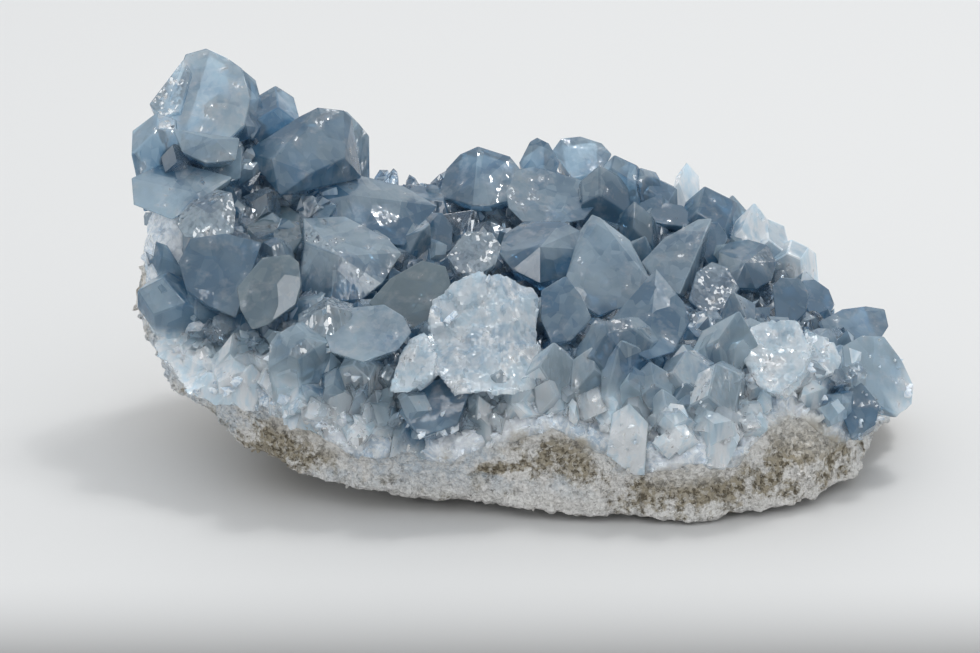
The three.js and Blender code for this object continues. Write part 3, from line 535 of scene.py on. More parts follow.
def seen_stem(row, seed):
    """How a crystal of the list stands in space."""
    name, root_seen, tip_seen, lean, wide, thickness, turn, habit, finish = row
    root = root_on_crust(root_seen)
    far = (root - EYE) @ SEEN_AWAY
    in_plane = (sight_direction(tip_seen) - sight_direction(root_seen)) * far
    whole = in_plane - SEEN_AWAY * np.linalg.norm(in_plane) * math.tan(math.radians(lean))
    axis = unit(whole)
    around = Matrix.Rotation(math.radians(turn), 3, Vector(axis))
    crosswise = np.array(around @ Vector(np.cross(axis, SEEN_AWAY)))
    return {"root": root, "axis": axis, "across": unit(crosswise - axis * (crosswise @ axis)),
            "long": np.linalg.norm(whole), "wide": wide, "thick": wide * thickness,
            "buried": wide * ROOTED, "habit": habit, "seed": seed, "finish": finish}


def towards(seen, corner):
    """How far in front of the root a corner is: as given, or on the face that the first three span."""
    if len(corner) > 2:
        return corner[2]
    face = np.array(seen[:3], float)
    shares = np.linalg.solve((face[1:, :2] - face[0, :2]).T, np.array(corner) - face[0, :2])
    return face[0, 2] + shares @ (face[1:, 2] - face[0, 2])


def block_stem(row, seed):
    """A large crystal: its corners, with a root, an axis and a girth like the stem of the others."""
    name, root_seen, finish, seen = row
    root = root_on_crust(root_seen)
    far = (root - EYE) @ SEEN_AWAY
    front = np.array([EYE + sight_direction(corner) * (far - towards(seen, corner)) for corner in seen])
    middle = front.mean(axis=0)
    spread = np.linalg.norm(front - middle, axis=1).mean()
    back = middle + (front[::2] - middle) * FAR_SIDE + SEEN_AWAY * spread * FAR_DEPTH
    deep = root + SEEN_AWAY * spread * ROOT_DEPTH
    feet = [deep - SEEN_RIGHT * spread * ROOT_SPREAD, deep + SEEN_RIGHT * spread * ROOT_SPREAD]
    axis = unit(middle - root)
    return {"corners": np.concatenate([front, back, feet]), "root": root, "axis": axis,
            "long": (front @ axis).max() - root @ axis, "wide": spread * BLOCK_WIDTH,
            "seed": seed, "finish": finish}


def filler_stem(index, stems):
    """How a small crystal between the listed ones stands, or None where there is no room for it."""
    f = FILLERS
    seed = index + f["first_seed"]
    pick = [chance(seed, salt) for salt in range(10)]
    bearing = np.float64(2 * math.pi * pick[1])
    girth = rim_at(bearing, "girth")
    reach = math.sqrt(0.05 + 0.95 * pick[2]) * girth * 0.97

    def at(b, r):
        return np.array([*plan_point(b, r), crust_height(b, r)])

    root = at(bearing, reach)
    for stem in stems:
        along = np.clip((root - stem["root"]) @ stem["axis"], 0, stem["long"])
        if np.linalg.norm(stem["root"] + stem["axis"] * along - root) < stem["wide"] * f["clearance"]:
            return None
    if reach > rim_at(bearing, "crest") and math.sin(bearing) > f["bare_wall"]:
        return None
    if root[2] < seam_height(bearing, reach) + f["above_seam"]:
        return None
    axis = unit(np.cross(at(bearing, reach + 0.01) - root, at(bearing + 0.02, reach) - root))
    axis = unit(axis + np.array([(pick[3] - 0.5) * f["leaning"], (pick[4] - 0.5) * f["leaning"],
                                 (pick[5] - 0.3) * f["rising"]]))
    long = f["shortest"] + (f["longest"] - f["shortest"]) * pick[6] ** 1.5
    wide = long * f["slimness"] * (0.8 + 0.5 * pick[7])
    crosswise = np.array([pick[8] - 0.5, pick[9] - 0.5, 0.3])
    finish = (0.2 + 0.7 * chance(seed, 11), 0.15 * chance(seed, 12) ** 2, 0.1 + 0.5 * chance(seed, 13),
              chance(seed, 14) ** 4)
    return {"root": root, "axis": axis, "across": unit(crosswise - axis * (crosswise @ axis)),
            "long": long, "wide": wide, "thick": wide * f["thickness"], "buried": wide * f["rooted"],
            "habit": CHISEL, "seed": seed, "finish": finish}


def crystal_corners(stem):
    """The points where three of a crystal's flat faces meet and that lie inside the rest."""
    long, wide, thick, seed = (stem[key] for key in ("long", "wide", "thick", "seed"))
    side_slope, top_slope, blunt, corner_share = stem["habit"]
    normals, reaches = [], []

    def wobble(salt, size):
        return (chance(seed, salt) - 0.5) * size

    def add_face(a, b, c, through):
        normal = unit(np.array([a + wobble(len(normals) + 20, STRAY["face"]), b, c]))
        normals.append(normal)
        reaches.append(normal @ np.array(through))

    ridge = math.radians(MAIN_SLOPE + wobble(1, STRAY["main"]))
    tip = (long, wobble(2, STRAY["tip"]) * wide, wobble(3, STRAY["tip"]) * thick)
    for b in (-1, 1):
        for c in (-1, 1):
            corner = (0, b * wide * 0.5 * corner_share, c * thick * 0.5 * corner_share)
            add_face(TAPER_MAIN, b * math.cos(ridge), c * math.sin(ridge), corner)
        side = math.radians(side_slope + wobble(4 + b, STRAY["end"]))
        add_face(math.cos(side), b * math.sin(side), wobble(12 + b, STRAY["skew"]), tip)
        if wide > SLIM_CRYSTAL:
            add_face(TAPER_FLAT, 0, b, (0, 0, b * thick / 2))
        if top_slope:
            top = math.radians(top_slope + wobble(8 + b, STRAY["end"]))
            add_face(math.cos(top), wobble(16 + b, STRAY["skew"]), b * math.sin(top), tip)
    if blunt and wide > SLIM_CRYSTAL:
        add_face(1, 0, 0, (long * (1 - blunt), 0, 0))
    add_face(-1, 0, 0, (-stem["buried"], 0, 0))
    return meeting_points(np.array(normals), np.array(reaches))


def meeting_points(normals, reaches):
    trios = np.array(list(itertools.combinations(range(len(normals)), 3)))
    faces = normals[trios]
    solid = np.abs(np.linalg.det(faces)) > 1e-6
    points = np.linalg.solve(faces[solid], reaches[trios[solid]][..., None])[..., 0]
    inside = (points @ normals.T < reaches + 1e-6).all(axis=1)
    return points[inside]


def is_block(stem):
    return "corners" in stem


def to_part(points):
    """Millimetres of the view's frame to metres of the part's frame."""
    return (points + TO_ORIGIN) * MM


def crystal_mesh(name, stem, bevel, place=True):
    """A crystal as a closed mesh with flat faces and, where asked, a fine bevel on its edges."""
    if is_block(stem):
        points = to_part(stem["corners"]) if place else stem["corners"]
    else:
        points = crystal_corners(stem)
        if place:
            basis = np.stack([stem["axis"], stem["across"], np.cross(stem["axis"], stem["across"])])
            points = to_part(stem["root"] + points @ basis)
    shape = bmesh.new()
    for point in points:
        shape.verts.new(point)
    scale = MM if place else 1.0
    bmesh.ops.remove_doubles(shape, verts=shape.verts, dist=CORNER_MERGE * scale)
    bmesh.ops.convex_hull(shape, input=shape.verts)
    loose = [v for v in shape.verts if not v.link_faces]
    bmesh.ops.delete(shape, geom=loose, context="VERTS")
    flat = BLOCK_FLATNESS if is_block(stem) else PRISM_FLATNESS
    bmesh.ops.dissolve_limit(shape, angle_limit=flat, verts=shape.verts, edges=shape.edges)
    worn = []
    if bevel:
        sharp = [edge for edge in shape.edges if edge.calc_face_angle(0) > WORN_ANGLE]
        made = bmesh.ops.bevel(shape, geom=sharp, offset=bevel * scale, segments=2, profile=0.5,
                               affect="EDGES", clamp_overlap=True)
        shape.faces.index_update()
        worn = [face.index for face in made["faces"]]
    bmesh.ops.recalc_face_normals(shape, faces=shape.faces)
    mesh = bpy.data.meshes.new(name)
    shape.to_mesh(mesh)
    shape.free()
    sides = np.arange(len(mesh.polygons))
    for salt, key in enumerate(FINISH_KEYS):
        stray = (wave(sides * 3.7 + stem["seed"] * 1.3 + salt) - 0.5) * FACE_STRAY[salt]
        values = np.clip(stem["finish"][salt] + stray, 0, 1)
        if key == "glint":
            values[wave(sides * 5.3 + stem["seed"] * 2.1) < GLINTING_FACES] = GLINT_OF_FACE
        values[worn] = stem["finish"][salt]
        set_values(mesh, key, "FACE", values)
    return mesh


def object_from(name, mesh, collection=None):
    thing = bpy.data.objects.new(name, mesh)
    (collection or bpy.context.scene.collection).objects.link(thing)
    return thing


def mesh_from(name, points, faces):
    mesh = bpy.data.meshes.new(name)
    mesh.from_pydata(points.tolist(), [], faces)
    mesh.validate()
    return mesh


def ring_mesh(name, rings, segments, shape):
    """A closed mesh in rings round the middle. Each ring is (share of the girth's reach, height rule)."""
    bearing = np.arange(segments) / segments * 2 * math.pi
    points, starts, faces = [], [], []
    count = 0
    for share, height in rings:
        angles = bearing if share > 0 else bearing[:1]
        reach = rim_at(angles, "girth") * share
        x, y = plan_point(angles, reach)
        points.append(np.stack([x, y, height(angles, reach)], axis=-1))
        starts.append(count)
        count += len(angles)
    for ring, i in itertools.product(range(len(rings) - 1), range(segments)):
        j = (i + 1) % segments
        loop = [starts[at] + (k if rings[at][0] > 0 else 0)
                for at, k in ((ring, i), (ring + 1, i), (ring + 1, j), (ring, j))]
        faces.append(list(dict.fromkeys(loop)))
    return mesh_from(name, to_part(shape(np.concatenate(points))), faces)


def with_modifier(thing, kind, **settings):
    """The mesh that a modifier makes of an object."""
    modifier = thing.modifiers.new("work", kind)
    for key, value in settings.items():
        setattr(modifier, key, value)
    mesh = evaluated_mesh(thing)
    thing.modifiers.clear()
    return mesh


def evaluated_mesh(thing):
    bpy.context.view_layer.update()
    depsgraph = bpy.context.evaluated_depsgraph_get()
    return bpy.data.meshes.new_from_object(thing.evaluated_get(depsgraph))


def triples(collection, key, count):
    flat = np.empty(count * 3, np.float32)
    collection.foreach_get(key, flat)
    return flat.reshape(-1, 3).astype(float)


def vertex_array(mesh):
    return triples(mesh.vertices, "co", len(mesh.vertices))


def normal_array(mesh):
    return triples(mesh.vertex_normals, "vector", len(mesh.vertices))


def seen_points(mesh):
    """The mesh's points in millimetres, in the frame that the piece is seen in."""
    return vertex_array(mesh) / MM - TO_ORIGIN


def move_to(mesh, points):
    mesh.vertices.foreach_set("co", to_part(points).astype(np.float32).ravel())
    mesh.update()


def set_values(mesh, name, domain, values):
    attribute = mesh.attributes.new(name, "FLOAT", domain)
    attribute.data.foreach_set("value", values.astype(np.float32))


def discard(*things):
    for thing in things:
        mesh = thing.data
        bpy.data.objects.remove(thing)
        if mesh and not mesh.users:
            bpy.data.meshes.remove(mesh)


# Rough ground: the body in a fine even net, its surface broken into grains and steps of these sizes
GROUND_SEGMENTS = 240
GROUND_VOXEL = 0.55
COARSE_GRAIN = 2.6
FINE_GRAIN = 1.3
GROUND_STEP = 3.4

# The sugary crust of the front: its thickness, and from where above the seam it is there, full, thinner
SUGAR_DEPTH = 1.7
SUGAR_BAND = (-1.0, 1.5, 8.0, 16.0)

# How far out the seam goes on, as a share of the reach, and how high the space above it ends
SEAM_REACH = 1.25
SEAM_TOP = 95.0

# Steps and chips of the large broken crystals
BROKEN_STEP = 7.0
BROKEN_CHIP = 2.8

# Tells the draws of one cell apart, and a distance that is greater than any in use
CELL_SALT = 17.31
FAR_OFF = 99.0


def seam_gap_height(points):
    """How far points of the view's frame, in millimetres, lie above the seam."""
    bearing, reach = bearing_and_reach(points[:, 0], points[:, 1])
    return points[:, 2] - seam_height(bearing, reach)


def facet_grain(points, size, seed):
    """Relief of small flat-faced grains, from 0 in the joints to 1 on the grain tops."""
    cell = np.floor(points / size)
    best = np.full(len(points), -9.0)
    for step in itertools.product((-1, 0, 1), repeat=3):
        at = cell + np.array(step)
        draws = [wave(at @ SCATTER + seed + k * CELL_SALT) for k in range(6)]
        centre = (at + np.stack(draws[:3], axis=-1)) * size
        tilt = np.stack(draws[3:], axis=-1) - 0.5
        tilt /= np.linalg.norm(tilt, axis=-1, keepdims=True) + 1e-9
        away = points - centre
        flat = np.abs((away * tilt).sum(axis=-1))
        round_part = np.linalg.norm(away, axis=-1)
        best = np.maximum(best, 1 - (0.6 * round_part + 0.55 * flat) / size)
    return np.clip(best, 0, 1)


def step_relief(points, size, seed):
    """Relief of a hackly break: each cell has its own slightly tilted plane, with steps between them."""
    cell = np.floor(points / size)
    nearest = np.full(len(points), FAR_OFF)
    height = np.zeros(len(points))
    for step in itertools.product((-1, 0, 1), repeat=3):
        at = cell + np.array(step)
        draws = np.stack([wave(at @ SCATTER + seed + k * CELL_SALT) for k in range(6)], axis=-1)
        away = points / size - at - draws[:, :3]
        far = np.linalg.norm(away, axis=-1)
        plane = (away * (draws[:, 3:] - 0.5)).sum(axis=-1)
        height = np.where(far < nearest, plane, height)
        nearest = np.minimum(nearest, far)
    return height


def ground_mesh(grain):
    """The whole body of the piece, without its crystals, as a closed mesh with a granular surface."""
    crust = [(share, crust_height) for share in np.linspace(0, 1, 40)]
    under = [(share, underside_height) for share in np.linspace(0.98, 0, 24)]
    coarse = object_from("coarse_body", ring_mesh("coarse_body", crust + under, GROUND_SEGMENTS, lumpy))
    mesh = with_modifier(coarse, "REMESH", mode="VOXEL", voxel_size=GROUND_VOXEL * MM)
    discard(coarse)
    points = seen_points(mesh)
    normals = normal_array(mesh)
    above = seam_gap_height(points)
    sugary = np.clip(above / 3 + 0.5, 0, 1)
    coarse_grain = facet_grain(points, COARSE_GRAIN, 3.0) - 0.5
    fine_grain = facet_grain(points, FINE_GRAIN, 9.0) - 0.5
    rough = lumps(points / 3.1) * 0.35 + lumps(points / 1.5) * 0.25
    pits = -1.2 * np.clip(lumps(points / 1.9 + 40) - 0.35, 0, 1)
    crumbs = rough + pits + 1.2 * coarse_grain + 0.9 * fine_grain
    broken = 1.3 * step_relief(points, GROUND_STEP, 5.0) + 0.8 * coarse_grain + 0.8 * fine_grain
    relief = sugary * broken + (1 - sugary) * crumbs
    bearing, reach = bearing_and_reach(points[:, 0], points[:, 1])
    front = np.clip((-np.sin(bearing) - 0.1) * 3, 0, 1) * np.clip((reach - 0.5) * 4, 0, 1)
    crusted = front * np.interp(above, SUGAR_BAND, (0, 1, 1, 0.3)) * SUGAR_DEPTH
    crusted *= 0.7 + 0.6 * lumps(points / 5.0 + 60)
    points += normals * (relief * grain + crusted)[:, None]
    points[:, 2] = np.maximum(points[:, 2], 0)
    move_to(mesh, points)
    return mesh


def seam_space(above):
    """Everything above or below the seam, as a closed mesh."""
    shares = np.concatenate([np.linspace(SEAM_REACH, 0.8, 30), np.linspace(0.74, 0, 8)])
    end = SEAM_TOP if above else 0.0
    level = [(share, lambda b, r: np.full_like(b, end)) for share in (0, SEAM_REACH)]
    seam = [(share, seam_height) for share in shares]

    def ragged(points):
        rise = lumps(points / 4.2 + 7) * 1.6 + lumps(points / 1.7 + 3) * 0.9
        points[:, 2] += np.where((points[:, 2] > 0) & (points[:, 2] < SEAM_TOP), rise, 0)
        return points

    rings = level + seam if above else seam[::-1] + level[::-1]
    return ring_mesh("seam_space", rings, GROUND_SEGMENTS, ragged)


def joined(name, meshes):
    """Several meshes as the loose parts of one."""
    points, faces, count = [], [], 0
    for mesh in meshes:
        points.append(vertex_array(mesh))
        faces += [[count + v for v in polygon.vertices] for polygon in mesh.polygons]
        count += len(mesh.vertices)
    return mesh_from(name, np.concatenate(points), faces)


def rugged(name, meshes, voxel, grain):
    """Overlapping crystals fused in one mesh whose faces are broken into steps and chips."""
    thing = object_from(name, joined(name, meshes))
    mesh = with_modifier(thing, "REMESH", mode="VOXEL", voxel_size=voxel * MM)
    discard(thing)
    points = seen_points(mesh)
    steps, chips = step_relief(points, BROKEN_STEP, 21.0), step_relief(points, BROKEN_CHIP, 27.0)
    relief = 2.2 * steps + 0.8 * chips - 0.3
    points += normal_array(mesh) * (relief * grain)[:, None]
    move_to(mesh, points)
    for value, key in zip(BROKEN_FINISH, FINISH_KEYS):
        set_values(mesh, key, "FACE", np.full(len(mesh.polygons), value))
    return mesh


def boolean(name, first, operation, second):
    thing = object_from(name, first)
    other = object_from(name + "_tool", second)
    mesh = with_modifier(thing, "BOOLEAN", operation=operation, object=other, solver="MANIFOLD")
    bpy.data.objects.remove(thing)
    bpy.data.objects.remove(other)
    mesh.name = name
    return mesh


# Where the beige shows most on the front, in the picture: centre and half sizes
BEIGE_PLACES = ((285, 446, 52, 28), (565, 457, 46, 22), (800, 444, 50, 44), (153, 156, 18, 18),
                (140, 290, 12, 40), (690, 490, 70, 22), (500, 468, 26, 6))
# Where the sugary front has clear blue crystals, the same way
CLEAR_PLACES = ((432, 408, 42, 32), (860, 412, 26, 32))


def seen_place(points):
    """Where points of the view's frame are seen in the picture, in its pixels."""
    from_eye = points - EYE
    scale = PIXELS_PER_UNIT_SLOPE / (from_eye @ SEEN_AWAY)
    across, up = (from_eye @ SEEN_RIGHT) * scale, (from_eye @ SEEN_UP) * scale
    return FRAME_CENTRE[0] + across, FRAME_CENTRE[1] - up


def nearness(points, places):
    """Sum over the places of how near each point is seen to their middle."""
    x, y = seen_place(points)
    return sum(np.exp(-((x - cx) / rx) ** 2 - ((y - cy) / ry) ** 2) for cx, cy, rx, ry in places)


def set_stain(mesh, innermost):
    """How near to the seam each point is, 1 in the rind and 0 well up in the celestine, and how beige.

    There is no stain nearer to the middle than innermost, a share of the reach to the girth.
    """
    points = seen_points(mesh)
    above = seam_gap_height(points) + 1.5 * lumps(points / 4 + 11)
    front = np.clip((MIDDLE[1] - points[:, 1]) / 8, 0, 1)
    beige = nearness(points, BEIGE_PLACES)
    hidden = 0.5 + 0.5 * lumps(points / 14 + 5)
    bearing, reach = bearing_and_reach(points[:, 0], points[:, 1])
    outer = np.clip((reach / rim_at(bearing, "girth") - innermost) * 8, 0, 1)
    set_values(mesh, "stain", "POINT", outer * np.clip(0.5 - above / 6, 0, 1))
    set_values(mesh, "beige", "POINT", np.clip(front * beige + (1 - front) * hidden, 0, 1))


# Materials


class Nodes:
    """Short hands for the nodes of a tree. An input is given by its name, or by its place as in i0."""

    def __init__(self, tree):
        self.tree = tree
        self.tree.nodes.clear()

    def add(self, kind, settings=None, **inputs):
        node = self.tree.nodes.new(kind)
        for key, value in (settings or {}).items():
            setattr(node, key, value)
        for key, value in inputs.items():
            self.put(node, key, value)
        return node

    def put(self, node, key, value):
        by_place = key[0] == "i" and key[1:].isdigit()
        socket = node.inputs[int(key[1:]) if by_place else key.replace("_", " ")]
        if isinstance(value, bpy.types.NodeSocket):
            self.tree.links.new(value, socket)
        else:
            socket.default_value = value

    def value(self, operation, a, b, clamp=False):
        settings = {"operation": operation, "use_clamp": clamp}
        return self.add("ShaderNodeMath", settings, i0=a, i1=b).outputs[0]

    def plus(self, a, b, clamp=False):
        return self.value("ADD", a, b, clamp)

    def times(self, a, b):
        return self.value("MULTIPLY", a, b)

    def vector(self, operation, a, **inputs):
        return self.add("ShaderNodeVectorMath", {"operation": operation}, i0=a, **inputs).outputs[0]

    def range(self, value, low, high, to_low=0.0, to_high=1.0):
        return self.add("ShaderNodeMapRange", i0=value, i1=low, i2=high, i3=to_low, i4=to_high).outputs[0]


class Net(Nodes):
    """A new material and its nodes. Sizes of patterns are in millimetres."""

    def __init__(self, name):
        self.material = bpy.data.materials.new(name)
        self.material.use_nodes = True
        super().__init__(self.material.node_tree)
        self.place = self.add("ShaderNodeTexCoord").outputs["Object"]

    def mix(self, factor, a, b):
        return self.add("ShaderNodeMix", {"data_type": "RGBA"}, i0=factor, i6=a, i7=b).outputs[2]

    def channel(self, colour, index):
        return self.add("ShaderNodeSeparateColor", Color=colour).outputs[index]

    def coordinate(self, index):
        return self.add("ShaderNodeSeparateXYZ", Vector=self.place).outputs[index]

    def noise(self, size, detail, roughness, distortion=0.0, where=None):
        return self.add("ShaderNodeTexNoise", Vector=where or self.place, Scale=1 / (size * MM),
                        Detail=detail, Roughness=roughness, Distortion=distortion).outputs["Fac"]

    def cells(self, size, where=None):
        return self.add("ShaderNodeTexVoronoi", Vector=where or self.place, Scale=1 / (size * MM))

    def attribute(self, name):
        return self.add("ShaderNodeAttribute", {"attribute_name": name}).outputs["Fac"]

    def bump(self, height, distance, strength):
        return self.add("ShaderNodeBump", Strength=strength, Distance=distance * MM,
                        Height=height).outputs[0]

    def finish(self, shader, volume=None):
        out = self.add("ShaderNodeOutputMaterial", Surface=shader.outputs[0])
        if volume is not None:
            self.put(out, "Volume", volume.outputs[0])
        return self.material


def rgb(colour):
    return (*colour, 1.0)


# Sizes of the patterns of each material, in millimetres, and how long patterns are turned
RIND_PATTERN = {"patches": 4.0, "mottles": 2.2, "grains": 0.55, "pits": 0.9, "clean places": 5.0,
                "sugar": 2.0, "relief": 0.6, "knobs": 0.5, "facets": 0.6}
MASSIVE_PATTERN = {"clouds": 6.0, "streaks": 2.4, "specks": 0.8, "stains": 4.0, "relief": 0.9,
                   "knobs": 0.7, "facets": 1.1}
CRYSTAL_PATTERN = {"bends": 3.0, "clouds": 7.0, "large facets": 4.0, "small facets": 1.3, "veils": 3.0,
                   "streaks": 1.6, "flakes": 0.45, "waves": 2.6}
PATTERN_TURN = (0.4, 0.7, 0.2)

# Light that enters is scattered under the surface, alike for all colours
SCATTERED = {"subsurface_method": "BURLEY"}
ALL_COLOURS = (1.0, 1.0, 1.0)
MASSIVE_GLOW = 1.4 * MM
SCATTERED_SHARE = 0.6


def leaning_normal(net, colours, tilt, normal):
    """Normals that lean another way where the colour is another, by up to half the tilt on each axis."""
    leaning = net.vector("SUBTRACT", colours, i1=(0.5, 0.5, 0.5))
    return net.vector("NORMALIZE", net.vector("ADD", normal, i1=net.vector("SCALE", leaning, Scale=tilt)))


def grain_normal(net, size, tilt, normal):
    """Normals that lean another way on each small grain, as on broken or sugary surfaces."""
    return leaning_normal(net, net.cells(size).outputs["Color"], tilt, normal)


def rind_material(look):
    """White to grey grains, with beige patches and olive pits, sugary where the rind is clean."""
    net, size = Net("rind_stone"), RIND_PATTERN
    pale, grey = rgb(look.rind_pale), rgb(look.rind_grey)
    stain = net.attribute("stain")
    beige = net.attribute("beige")
    grain = net.channel(net.cells(size["grains"]).outputs["Color"], 0)
    patches = net.range(net.plus(net.noise(size["patches"], 5, 0.75), net.times(beige, 0.23)), 0.56, 0.66)
    base = net.mix(net.range(net.noise(size["mottles"], 4, 0.7), 0.4, 0.62), pale, grey)
    base = net.mix(patches, base, rgb(look.rind_beige))
    base = net.mix(net.range(grain, 0.6, 1.0, 0, 0.5), base, pale)
    pits = net.times(net.range(net.noise(size["pits"], 3, 0.8), 0.52, 0.6),
                     net.range(patches, 0, 1, 0.25, 0.95))
    base = net.mix(pits, base, rgb(look.rind_olive))
    base = net.mix(net.range(stain, 0.98, 0.5, 0, 0.7), base, pale)

    above_floor = net.range(net.coordinate(2), 3.0 * MM, 7.0 * MM)
    ragged = net.range(net.noise(size["clean places"], 4, 0.7), 0.3, 0.7, -0.35, 0.35)
    clean = net.range(net.plus(beige, ragged), 0.32, 0.05)
    sugar = net.mix(net.range(net.noise(size["sugar"], 4, 0.7, 1.5), 0.42, 0.6),
                    rgb(look.massive_blue), rgb(look.massive_streak))
    base = net.mix(net.times(net.times(clean, above_floor), 0.6), base, sugar)

    height = net.plus(net.noise(size["relief"], 2, 0.7),
                      net.times(net.cells(size["knobs"]).outputs["Distance"], 0.8))
    height = net.value("SUBTRACT", height, net.times(pits, 0.5))
    shader = net.add("ShaderNodeBsdfPrincipled", Base_Color=base, Roughness=0.7, IOR=1.5,
                     Normal=grain_normal(net, size["facets"], 0.6, net.bump(height, 0.55, 0.9)))
    return net.finish(shader)


def massive_material(look):
    """Sugary celestine: white and blue clouds with whiter streaks and specks, stained near the rind."""
    net, size = Net("massive_celestine"), MASSIVE_PATTERN
    streak = rgb(look.massive_streak)
    clouds = net.noise(size["clouds"], 4, 0.6, 0.6)
    streaks = net.range(net.noise(size["streaks"], 4, 0.7, 2.5), 0.46, 0.58)
    speck = net.cells(size["specks"]).outputs["Color"]
    base = net.mix(net.range(clouds, 0.36, 0.6), rgb(look.massive_white), rgb(look.massive_blue))
    base = net.mix(net.times(streaks, 0.9), base, streak)
    base = net.mix(net.range(net.channel(speck, 1), 0.75, 1.0, 0, 0.6), base, streak)
    stains = net.plus(net.noise(size["stains"], 4, 0.65), net.times(net.attribute("beige"), 0.25))
    stained = net.times(net.range(net.attribute("stain"), 0.05, 0.6), net.range(stains, 0.5, 0.72))
    base = net.mix(net.times(stained, 0.85), base, rgb(look.rind_beige))

    height = net.plus(net.noise(size["relief"], 3, 0.65), net.cells(size["knobs"]).outputs["Distance"])
    tilt = net.times(net.range(net.attribute("frost"), 0.4, 0.9, 1.0, 0.35), 0.6)
    shader = net.add("ShaderNodeBsdfPrincipled", SCATTERED, Base_Color=base, IOR=look.refraction,
                     Roughness=net.range(net.channel(speck, 0), 0, 1, 0.1, 0.4), Subsurface_Weight=1.0,
                     Subsurface_Radius=ALL_COLOURS, Subsurface_Scale=MASSIVE_GLOW,
                     Normal=grain_normal(net, size["facets"], tilt, net.bump(height, 0.2, 0.5)))
    return net.finish(shader)


def bent_place(net, bend):
    """Object coordinates bent softly, so that what is drawn with them isn't straight."""
    soft = net.add("ShaderNodeTexNoise", Vector=net.place, Scale=1 / (bend * 4 * MM), Detail=0.0)
    return net.vector("ADD", net.place, i1=net.vector("SCALE", soft.outputs["Color"], Scale=bend * MM))


def stretched(net, place, share):
    """A place drawn out along the way that the inner faces and streaks run."""
    return net.add("ShaderNodeMapping", Vector=place, Rotation=PATTERN_TURN,
                   Scale=(1, 1, share)).outputs[0]


def inner_facets(net, bent, size, stretch):
    """Random colours, each even within one of many irregular cells, as of a crystal's broken faces."""
    return net.cells(size, stretched(net, bent, 1 / stretch)).outputs["Color"]


def crystal_material(look, name, clearness, pale, deep, absorption):
    """Celestine that lets a plain share of the light through and scatters the rest under its faces."""
    net, size = Net(name), CRYSTAL_PATTERN
    depth, smoke, frost, glint = (net.attribute(key) for key in FINISH_KEYS)
    sugar = net.attribute("sugar")
    frost = net.value("MAXIMUM", frost, sugar)
    # Painted shade: the blue is deepened where a point stands low in a crevice, and paled a little high up
    rise = net.range(net.attribute("rise"), 0, 1, 0.75, -0.1)
    bent = bent_place(net, size["bends"])
    broad = net.noise(size["clouds"], 2, 0.5)
    fine = net.noise(size["veils"], 3, 0.6, 0.0, bent)

    # The blue: painted shade makes it deeper in the crevices and a little paler high above the crust; it
    # is also deeper in clouds and from one inner face to the next
    large = inner_facets(net, bent, size["large facets"], 1.6)
    small = inner_facets(net, bent, size["small facets"], 2.6)
    plain = net.range(frost, 0.5, 1.0, 1.0, 0.3)
    shades = [net.range(net.channel(cells, 0), 0, 1, -1, 1) for cells in (large, small)]
    facets = net.times(plain, net.plus(shades[0], net.times(shades[1], 0.7)))
    depth = net.plus(net.plus(depth, rise), net.range(broad, 0.34, 0.66, -0.22, 0.22))
    depth = net.value("SUBTRACT", depth, net.times(sugar, 0.6))
    depth = net.plus(depth, net.times(facets, net.range(broad, 0.42, 0.6, 0.1, 0.34)), clamp=True)
    base = net.mix(depth, rgb(pale), rgb(deep))
    base = net.mix(smoke, base, rgb(look.crystal_smoky))

    # Veils, frosted streaks and haze
    veil = net.range(fine, 0.52, 0.74)
    haze = net.times(frost, net.range(broad, 0.38, 0.64, 0.25, 1.2))
    rough = net.plus(net.times(haze, 0.2), net.times(veil, 0.1), clamp=True)
    rough = net.plus(rough, look.crystal_roughness)
    streaks = net.noise(size["streaks"], 2, 0.6, 0.0, stretched(net, bent, 0.22))
    frosted = net.times(net.range(frost, 0.55, 0.95), net.range(streaks, 0.4, 0.58, 0.15, 0.9))
    white = net.times(veil, net.plus(net.times(frost, 0.5), 0.35))
    white = net.plus(white, frosted, clamp=True)
    white = net.plus(white, net.times(glint, 0.25), clamp=True)
    base = net.mix(white, base, rgb(look.crystal_veil))

    # Chipped places and glinting faces: some flakes mirror the light, and all lean another way
    chipped = net.range(fine, 0.61, 0.66)
    flakes = inner_facets(net, bent, size["flakes"], 4.0)
    split = net.value("MAXIMUM", net.times(glint, net.range(fine, 0.46, 0.56)), net.times(chipped, 0.6))
    mirrors = net.times(net.range(net.channel(flakes, 1), 0.68, 0.74),
                        net.range(split, 0.2, 0.7, 0.0, 0.8))
    base = net.mix(mirrors, base, rgb(ALL_COLOURS))
    sparkle = net.plus(net.times(chipped, 0.5), net.times(glint, 0.9))
    waves = net.bump(net.noise(size["waves"], 2, 0.5), 0.35, 0.3)
    broken = leaning_normal(net, large, net.times(plain, 0.24), waves)

    clear = net.times(net.range(frost, 0.6, 1.0, 1.0, 0.25), clearness)
    shader = net.add("ShaderNodeBsdfPrincipled", SCATTERED, Base_Color=base, Roughness=rough,
                     IOR=look.refraction, Transmission_Weight=clear, Metallic=mirrors,
                     Subsurface_Weight=SCATTERED_SHARE, Subsurface_Radius=ALL_COLOURS,
                     Subsurface_Scale=look.glow_reach, Normal=leaning_normal(net, flakes, sparkle, broken))
    volume = net.add("ShaderNodeVolumeAbsorption", Color=rgb(look.absorbed), Density=absorption)
    return net.finish(shader, volume)


# How often light is followed on
LIGHT_BOUNCES = {"max_bounces": 5, "diffuse_bounces": 2, "glossy_bounces": 2, "transmission_bounces": 4}

# Where the floor's painted shade starts towards the viewer and where it is darkest, then where it starts
# to be pale again and where it is, in metres; how the painted shade sets in, and its share of the colour
FLOOR_SHADE = (-0.054, -0.086)
FLOOR_SHADE_END = (-0.10, -0.16)
SHADE_POWER = 1.8
SHADED_COLOUR = 0.25


